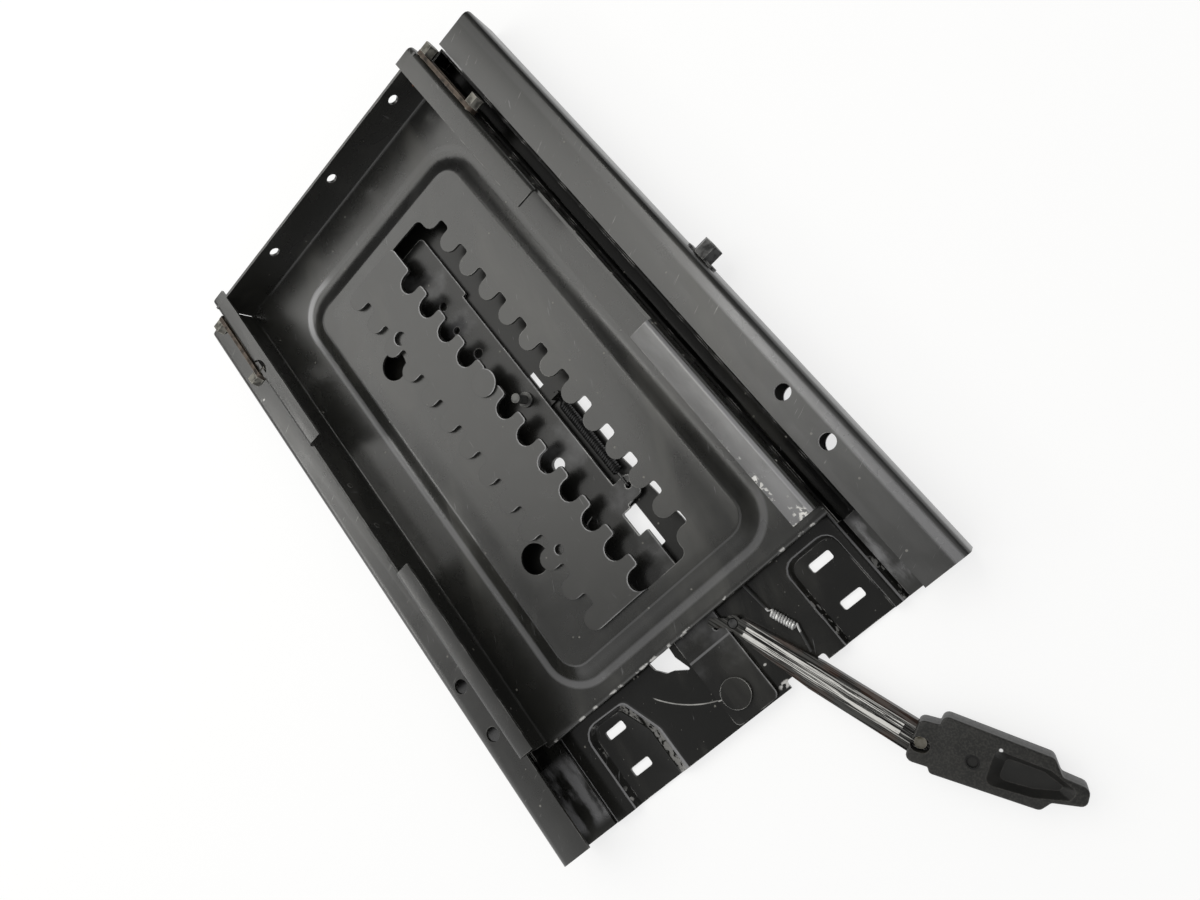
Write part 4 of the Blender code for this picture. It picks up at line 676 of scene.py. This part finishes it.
class SEATSLIDE_OT_wall_spots(bpy.types.Operator):
    """Set the weld nuggets on the tray's right wall, in pale grey as painted highlight, and the weld marks on
    its left wall
    """
    bl_idname = "seatslide.wall_spots"
    bl_label = "Wall weld spots"

    def execute(self, context):
        sizes = context.scene.seat_slide_spots
        tree = spot_tree()
        nuggets = [(TRAY_HIGH.x, y * MM, NUGGET_LEVEL) for y in NUGGET_PLACES]
        # Pale grey that stands in for the highlights on the nuggets
        bright = steel("nugget_grey", colour=(0.42, 0.41, 0.38), dark=(0.12, 0.12, 0.11),
                       roughness=0.45, metallic=0.4)
        self.add("right_wall_nuggets", nuggets, tree, sizes.nugget_radius, sizes.spot_height, bright)
        marks = [(TRAY_LOW.x + SHEET, y * MM, MARK_LEVEL) for y in MARK_PLACES]
        painted = Coat("weld_mark_black", shade=1.1, worn=0.8).close()
        self.add("left_wall_marks", marks, tree, sizes.mark_radius, sizes.spot_height, painted)
        return {"FINISHED"}

    def add(self, name, places, tree, radius, height, material):
        values = {"Radius": radius, "Height": height, "Finish": material}
        piece = baked(name, places, tree, values)
        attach(piece, "tray")


class SEATSLIDE_OT_rack(bpy.types.Operator):
    """Paint the toothed rack and its rivet: painted highlights on the right edges, painted shade along the
    left seam
    """
    bl_idname = "seatslide.rack"
    bl_label = "Rack"

    def execute(self, context):
        coat = Coat("rack_satin_black", shade=1.15, rough=0.31, worn=0.2)
        finish = coat.finish
        broken = coat.mottle.step(0.30, 0.55) * 0.5 + 0.5
        # Painted highlight on the edges that face the light
        coat.rub_or_highlight(finish.edge_toward((0.9, -0.45, 0), 1.7 * MM) * broken)
        coat.rub_or_highlight(finish.scratches(900.0, 0.1, 0.8, 18.0) * 0.2)
        # Painted shade along the edges that face away, as a shadow in the seam
        coat.dark = finish.edge_toward((-0.9, 0.45, 0), 1.9 * MM) * 0.85
        dress(["rack_plate", "rack_rivet"], coat.close())
        return {"FINISHED"}


class SEATSLIDE_OT_base(bpy.types.Operator):
    """Paint the cross plates and the tie bar: glossy and dark, scored by the arm, spotted near the lever,
    with painted highlights on the pad rims and on the left pad's slope
    """
    bl_idname = "seatslide.base"
    bl_label = "Base plates"

    def execute(self, context):
        coat = Coat("base_gloss_black", shade=0.5, rough=0.18, worn=0.9, level=0.5)
        finish = coat.finish
        x, y, z = finish.axes(finish.place)
        slopes = z.between(PAD_SLOPE, 0.8 * MM)
        worn_slope = finish.noise(210.0, 5.0).step(0.54, 0.62) * finish.noise(35.0, 2.0).step(0.48, 0.58)
        coat.bare_or_glint(slopes * worn_slope * 0.35)
        # Painted highlight along the pad rims
        coat.rub_or_highlight(z.between(PAD_RIM, 0.3 * MM) * 0.55)
        near_front = y.between((PLATE_FRONT, PLATE_FRONT + 70 * MM), 8 * MM)
        coat.film = coat.film.most(finish.dots(210.0, 0.07) * near_front * 0.45)
        # Painted glint on the left pad's slope that faces the narrow rail
        left_pad = x.below(-53 * MM, 3 * MM) * finish.lean((-1, 0, 0)).step(0.2, 0.4)
        glint = finish.noise(300.0, 4.0).step(0.40, 0.50) * finish.noise(50.0, 2.0).step(0.36, 0.46)
        coat.bare_or_glint(left_pad * slopes * glint * 0.35)
        self.add_marks(coat)
        dress(["base_plate"], coat.close())
        under = Coat("cross_satin_black", shade=0.4, rough=0.3, worn=0.5, level=0.4)
        dress(["rear_cross_plate", "tie_bar"], under.close())
        return {"FINISHED"}

    def add_marks(self, coat):
        """The arc scored by the arm's free end and the pale corrosion beside the lever."""
        finish = coat.finish
        _, y, z = finish.axes(finish.place)
        arc = scored_arc(finish, (-59 * MM, -23 * MM)) * y.below(-130 * MM, 5 * MM)
        faded = coat.mottle.step(0.35, 0.6) * 0.4 + 0.3
        coat.bare_or_glint(arc * z.above(7.4 * MM, 0.4 * MM) * faded)
        grit = finish.noise(260.0, 4.0).step(0.42, 0.50)
        coat.bare_or_glint(finish.spot(PALE_EDGE, (4.5 * MM, 2.2 * MM, 5 * MM), 0.3) * grit)
        coat.bare_or_glint(finish.spot(PALE_SPECK, (1.1 * MM, 0.7 * MM, 3 * MM), 0.4))


class SEATSLIDE_OT_latch(bpy.types.Operator):
    """Paint the latch arm, its rivet, its pin and its glossy black coil, with painted sheen and a painted
    highlight on the arm's right edge and the rivet's rim
    """
    bl_idname = "seatslide.latch"
    bl_label = "Latch"

    def execute(self, context):
        coat = Coat("arm_satin_black", shade=0.5, rough=0.26, worn=0.8, level=0.5)
        finish = coat.finish
        y = finish.axes(finish.place)[1]
        coat.rub_or_highlight(abs(y - ARM_FOLD).between((0, 0.5 * MM), 0.5 * MM) * 0.35)
        coat.bare_or_glint(scored_arc(finish, (-40 * MM, -15 * MM)) * 0.6)
        # Painted sheen: broad pale patches
        coat.rub_or_highlight(finish.noise(30.0, 4.0).step(0.50, 0.75) * 0.22)
        # Painted highlight along the arm's right edge
        coat.rub_or_highlight(finish.edge_toward((1, 0, 0), 1.8 * MM) * 0.55)
        dress(["latch_arm"], coat.close())
        rivet = Coat("rivet_gloss_black", shade=0.4, rough=0.25, level=0.5)
        # The rivet's rim is worn steel and painted highlight in one
        rivet.metal = rivet.finish.edge(0.9 * MM) * (rivet.mottle.step(0.40, 0.55) * 0.6 + 0.25)
        dress(["arm_rivet"], rivet.close())
        pin = steel("lock_pin_dull", colour=(0.12, 0.12, 0.115), dark=(0.05, 0.05, 0.05),
                    roughness=0.42, metallic=0.4, shine=(0.35, 0.35, 0.33))
        dress(["lock_pin"], pin)
        coil = steel("latch_spring_gloss", colour=(0.010, 0.010, 0.010), dark=(0.02, 0.02, 0.02),
                     roughness=0.16, metallic=0.0)
        dress(["latch_spring"], coil)
        return {"FINISHED"}


class SEATSLIDE_OT_lever(bpy.types.Operator):
    """Paint the lever with its ribs, worn to steel and with painted highlights, and finish the moulded grip,
    its screw and the return coil, with painted highlight and shade on the grip and a coil painted pale as its
    highlight
    """
    bl_idname = "seatslide.lever"
    bl_label = "Lever"

    def execute(self, context):
        dress(["lever_bar"], self.lever_paint())
        pin = steel("lever_pin_steel", colour=(0.10, 0.10, 0.10), dark=(0.03, 0.03, 0.03), roughness=0.35)
        dress(["lever_pin"], pin)
        dress(["lever_grip"], self.moulding())
        screw = steel("grip_screw_steel", colour=(0.34, 0.32, 0.27), dark=(0.12, 0.11, 0.08),
                      roughness=0.34, shine=(0.6, 0.58, 0.5))
        dress(["grip_screw"], screw)
        dress(["return_spring"], self.coil_steel())
        return {"FINISHED"}

    def lever_paint(self):
        """Pale streaks on the raised ribs, worn steel and painted highlight in one, and brown grease along
        the bar's sides.
        """
        coat = Coat("lever_black", shade=0.3, rough=0.18, worn=0.15, level=0.25, metal_share=0.1)
        coat.film = coat.film * 0.35
        finish = coat.finish
        z = finish.axes(finish.place)[2]
        across, along, _ = finish.axes(finish.mapped(-LEVER_TURN, (1, 1, 1), LEVER_PIVOT))
        streaks = finish.noise(1500.0, 3.0, finish.mapped(-LEVER_TURN, (1, 0.02, 0.2), LEVER_PIVOT))
        # Painted highlight on the raised ribs, laid in with the worn steel
        raised = z.above(LEVER_TOP - 0.7 * MM, 0.3 * MM)
        coat.bare_or_glint(raised * (streaks.step(0.45, 0.49) * 0.95 + 0.05))
        middle = abs(across).between((0, RIB_HALF), 0.6 * MM) * along.below(-8 * MM, 2 * MM)
        coat.bare_or_glint(middle * streaks.step(0.54, 0.60) * 0.6)
        brown = abs(across).above(5.75 * MM, 0.75 * MM) * finish.noise(60.0, 4.0).step(0.42, 0.62)
        coat.rusty = brown * 0.07
        return coat.close()

    def coil_steel(self):
        """Coil painted pale grey as its highlight, between two dark wire hooks."""
        finish = Finish("return_spring_steel")
        y = finish.axes(finish.place)[1]
        coil = y.between(COIL_LENGTH, 0.8 * MM)
        stain = finish.noise(300.0, 3.0).step(0.40, 0.65) * 0.35
        # Pale grey that stands in for the highlights on a black coil
        bright = finish.mix(stain, (0.78, 0.78, 0.77), (0.20, 0.20, 0.20))
        colour = finish.mix(coil, (0.035, 0.035, 0.035), bright)
        return finish.close(colour, 0.30 + stain * 0.3, coil * 0.5)

    def moulding(self):
        """Grained black moulding: scuffed top, pale edges that are worn and painted highlight in one, a
        painted shade ring at the dimple's rim, a painted highlight spark, smoother below the top.
        """
        finish = Finish("grip_moulded_black")
        z = finish.axes(finish.place)[2]
        cloud = finish.noise(60.0, 4.0)
        scuff = finish.noise(900.0, 5.0).step(0.40, 0.70)
        edge = finish.edge(1.2 * MM)
        top = z.above(GRIP_TOP - 0.5 * MM, 0.3 * MM)
        under = (1 - top) * z.above(GRIP_TOP - 2.75 * MM, 1.75 * MM)
        colour = finish.mix(cloud.step(0.4, 0.75), (0.013, 0.013, 0.012), (0.020, 0.019, 0.017))
        colour = finish.mix(top * scuff * 0.6, colour, (0.045, 0.044, 0.038))
        # Pale edges: wear and painted highlight in one
        colour = finish.mix(edge * 0.30, colour, (0.16, 0.15, 0.14))
        nicks = finish.noise(500.0, 3.0).step(0.70, 0.74) * edge
        colour = finish.mix(nicks, colour, (0.30, 0.28, 0.25))
        # Painted shade: a dark ring at the dimple's rim
        rim = finish.ring(self.grip_place(DIMPLE_REACH), DIMPLE_RADIUS, 1.1 * MM)
        colour = finish.mix(rim * 0.9, colour, (0.002, 0.002, 0.002))
        # Painted highlight: one small pale spark
        spark = finish.spot(self.grip_place(SPARK_REACH, SPARK_SIDE), (1 * MM, 1 * MM, 3 * MM), 0.3)
        colour = finish.mix(spark, colour, (0.8, 0.8, 0.8))
        roughness = 0.44 + (cloud - 0.5) * 0.2 + scuff * 0.10 - under * 0.08
        return finish.close(colour, roughness, 0.0, finish.bump(finish.noise(1400.0, 3.0), 0.05 * MM, 0.5))

    def grip_place(self, distance, side=0.0):
        """A place on the grip's top, by its distance from the screw and its offset to one side."""
        axis = Vector((math.sin(GRIP_TURN), -math.cos(GRIP_TURN), 0))
        across = Vector((-axis.y, axis.x, 0))
        screw_top = Vector((SCREW_CENTRE.x, SCREW_CENTRE.y, GRIP_TOP))
        return tuple(screw_top + axis * distance + across * side)


class SEATSLIDE_OT_fasteners(bpy.types.Operator):
    """Finish the rough clamp plates and the dull hexagon bolts"""
    bl_idname = "seatslide.fasteners"
    bl_label = "Clamps and bolts"

    def execute(self, context):
        clamp = steel("clamp_rough", colour=(0.085, 0.065, 0.05), dark=(0.03, 0.025, 0.02),
                      roughness=0.5, metallic=0.5, shine=(0.30, 0.25, 0.20))
        dress(["right_clamp", "left_clamp"], clamp)
        bolt = steel("bolt_dull", colour=(0.16, 0.155, 0.135), dark=(0.05, 0.048, 0.042),
                     roughness=0.36, metallic=0.7, shine=(0.55, 0.53, 0.48))
        dress([f"{side}_bolt_{number}" for side in ("right", "left") for number in (1, 2)], bolt)
        return {"FINISHED"}


class SEATSLIDE_OT_stage(bpy.types.Operator):
    """Set the pale floor, the soft lamps, the surround and the camera"""
    bl_idname = "seatslide.stage"
    bl_label = "Stage"

    def execute(self, context):
        stage = context.scene.seat_slide_stage
        self.floor(stage)
        self.surround(stage)
        for name, place, size, power in LAMPS:
            self.lamp(name, place, size, getattr(stage, power))
        self.camera(stage)
        context.scene.view_settings.view_transform = "Standard"
        return {"FINISHED"}

    def camera(self, stage):
        data = bpy.data.cameras.new("photo_camera")
        data.lens = stage.camera_lens
        data.sensor_width = FRAME_WIDTH
        data.clip_start = NEAR_CLIP
        camera = bpy.data.objects.new("photo_camera", data)
        camera.location = stage.camera_place
        camera.rotation_euler = stage.camera_turn
        bpy.context.scene.collection.objects.link(camera)
        bpy.context.scene.camera = camera

    def floor(self, stage):
        """A wide matt floor that keeps the shadow and shows nearly white to the camera and to gloss."""
        half = FLOOR_HALF
        mesh = bpy.data.meshes.new("studio_floor")
        corners = [(-half, -half, 0), (half, -half, 0), (half, half, 0), (-half, half, 0)]
        mesh.from_pydata(corners, [], [(0, 1, 2, 3)])
        floor = bpy.data.objects.new("studio_floor", mesh)
        bpy.context.scene.collection.objects.link(floor)
        finish = Finish("studio_floor_white")
        finish.close(tuple(stage.floor_colour), 0.9, level=0.1)
        path = finish.node("ShaderNodeLightPath")
        glow = finish.node("ShaderNodeEmission", {}, {"Color": (1, 1, 1), "Strength": FLOOR_WHITE})
        seen = Field(finish, path.outputs["Is Camera Ray"]).most(path.outputs["Is Glossy Ray"])
        parts = {0: seen * stage.floor_glow, 1: finish.shader.outputs[0], 2: glow.outputs[0]}
        mixed = finish.node("ShaderNodeMixShader", {}, parts)
        finish.feed(finish.tree.nodes["Material Output"].inputs["Surface"], mixed.outputs[0])
        mesh.materials.append(finish.material)

    def surround(self, stage):
        """White all round for the camera; gloss sees white near the floor, and grey overhead and behind."""
        world = bpy.data.worlds.new("studio_surround")
        bpy.context.scene.world = world
        world.use_nodes = True
        sky = Nodes(world.node_tree)
        path = sky.node("ShaderNodeLightPath")
        x, y, z = sky.axes(sky.node("ShaderNodeTexCoord").outputs["Generated"])
        overhead = z.step(*OVERHEAD_SPAN, 1.0, stage.overhead_level)
        aside = x.step(*ASIDE_SPAN, 1.0, stage.far_level)
        low_behind = z.step(*LOW_SPAN) * y.step(*BEHIND_SPAN)
        gloss = overhead * aside * low_behind.step(0.0, 1.0, 1.0, stage.rear_level)
        shares = {0: path.outputs["Is Glossy Ray"], 2: stage.world_level, 3: gloss}
        shown = sky.value("ShaderNodeMix", {}, shares)
        level = sky.value("ShaderNodeMix", {}, {0: path.outputs["Is Camera Ray"], 2: shown, 3: 1.0})
        background = world.node_tree.nodes["Background"]
        sky.feed(background.inputs["Color"], (1, 1, 1))
        sky.feed(background.inputs["Strength"], level)

    def lamp(self, name, place, size, power):
        """An area lamp that looks at the object's middle."""
        data = bpy.data.lights.new(name, "AREA")
        data.shape = "RECTANGLE"
        data.size, data.size_y = size
        data.energy = power
        data.color = LAMP_COLOUR
        lamp = bpy.data.objects.new(name, data)
        lamp.location = place
        lamp.rotation_euler = (-Vector(place)).to_track_quat("-Z", "Y").to_euler()
        bpy.context.scene.collection.objects.link(lamp)


OPERATORS = (
    SEATSLIDE_OT_rails, SEATSLIDE_OT_base, SEATSLIDE_OT_tray, SEATSLIDE_OT_wall_spots, SEATSLIDE_OT_rack,
    SEATSLIDE_OT_latch, SEATSLIDE_OT_lever, SEATSLIDE_OT_fasteners, SEATSLIDE_OT_stage,
)


class SEATSLIDE_PT_panel(bpy.types.Panel):
    """Lists the seat slide's operators"""
    bl_idname = "SEATSLIDE_PT_panel"
    bl_label = "Seat Slide"
    bl_space_type = "VIEW_3D"
    bl_region_type = "UI"
    bl_category = "Seat Slide"

    def draw(self, context):
        scene = context.scene
        for operator in OPERATORS:
            self.layout.operator(operator.bl_idname)
        for settings in (scene.seat_slide_paint, scene.seat_slide_spots, scene.seat_slide_stage):
            for name in settings.bl_rna.properties.keys():
                if name not in {"rna_type", "name"}:
                    self.layout.prop(settings, name)


CLASSES = (StageSettings, PaintSettings, SpotSettings, *OPERATORS, SEATSLIDE_PT_panel)


def register():
    for item in CLASSES:
        bpy.utils.register_class(item)
    bpy.types.Scene.seat_slide_stage = bpy.props.PointerProperty(type=StageSettings)
    bpy.types.Scene.seat_slide_paint = bpy.props.PointerProperty(type=PaintSettings)
    bpy.types.Scene.seat_slide_spots = bpy.props.PointerProperty(type=SpotSettings)


def unregister():
    del bpy.types.Scene.seat_slide_spots
    del bpy.types.Scene.seat_slide_paint
    del bpy.types.Scene.seat_slide_stage
    for item in reversed(CLASSES):
        bpy.utils.unregister_class(item)


def main():
    register()
    for operator in OPERATORS:
        group, name = operator.bl_idname.split(".")
        getattr(getattr(bpy.ops, group), name)()


if __name__ == "__main__":
    main()
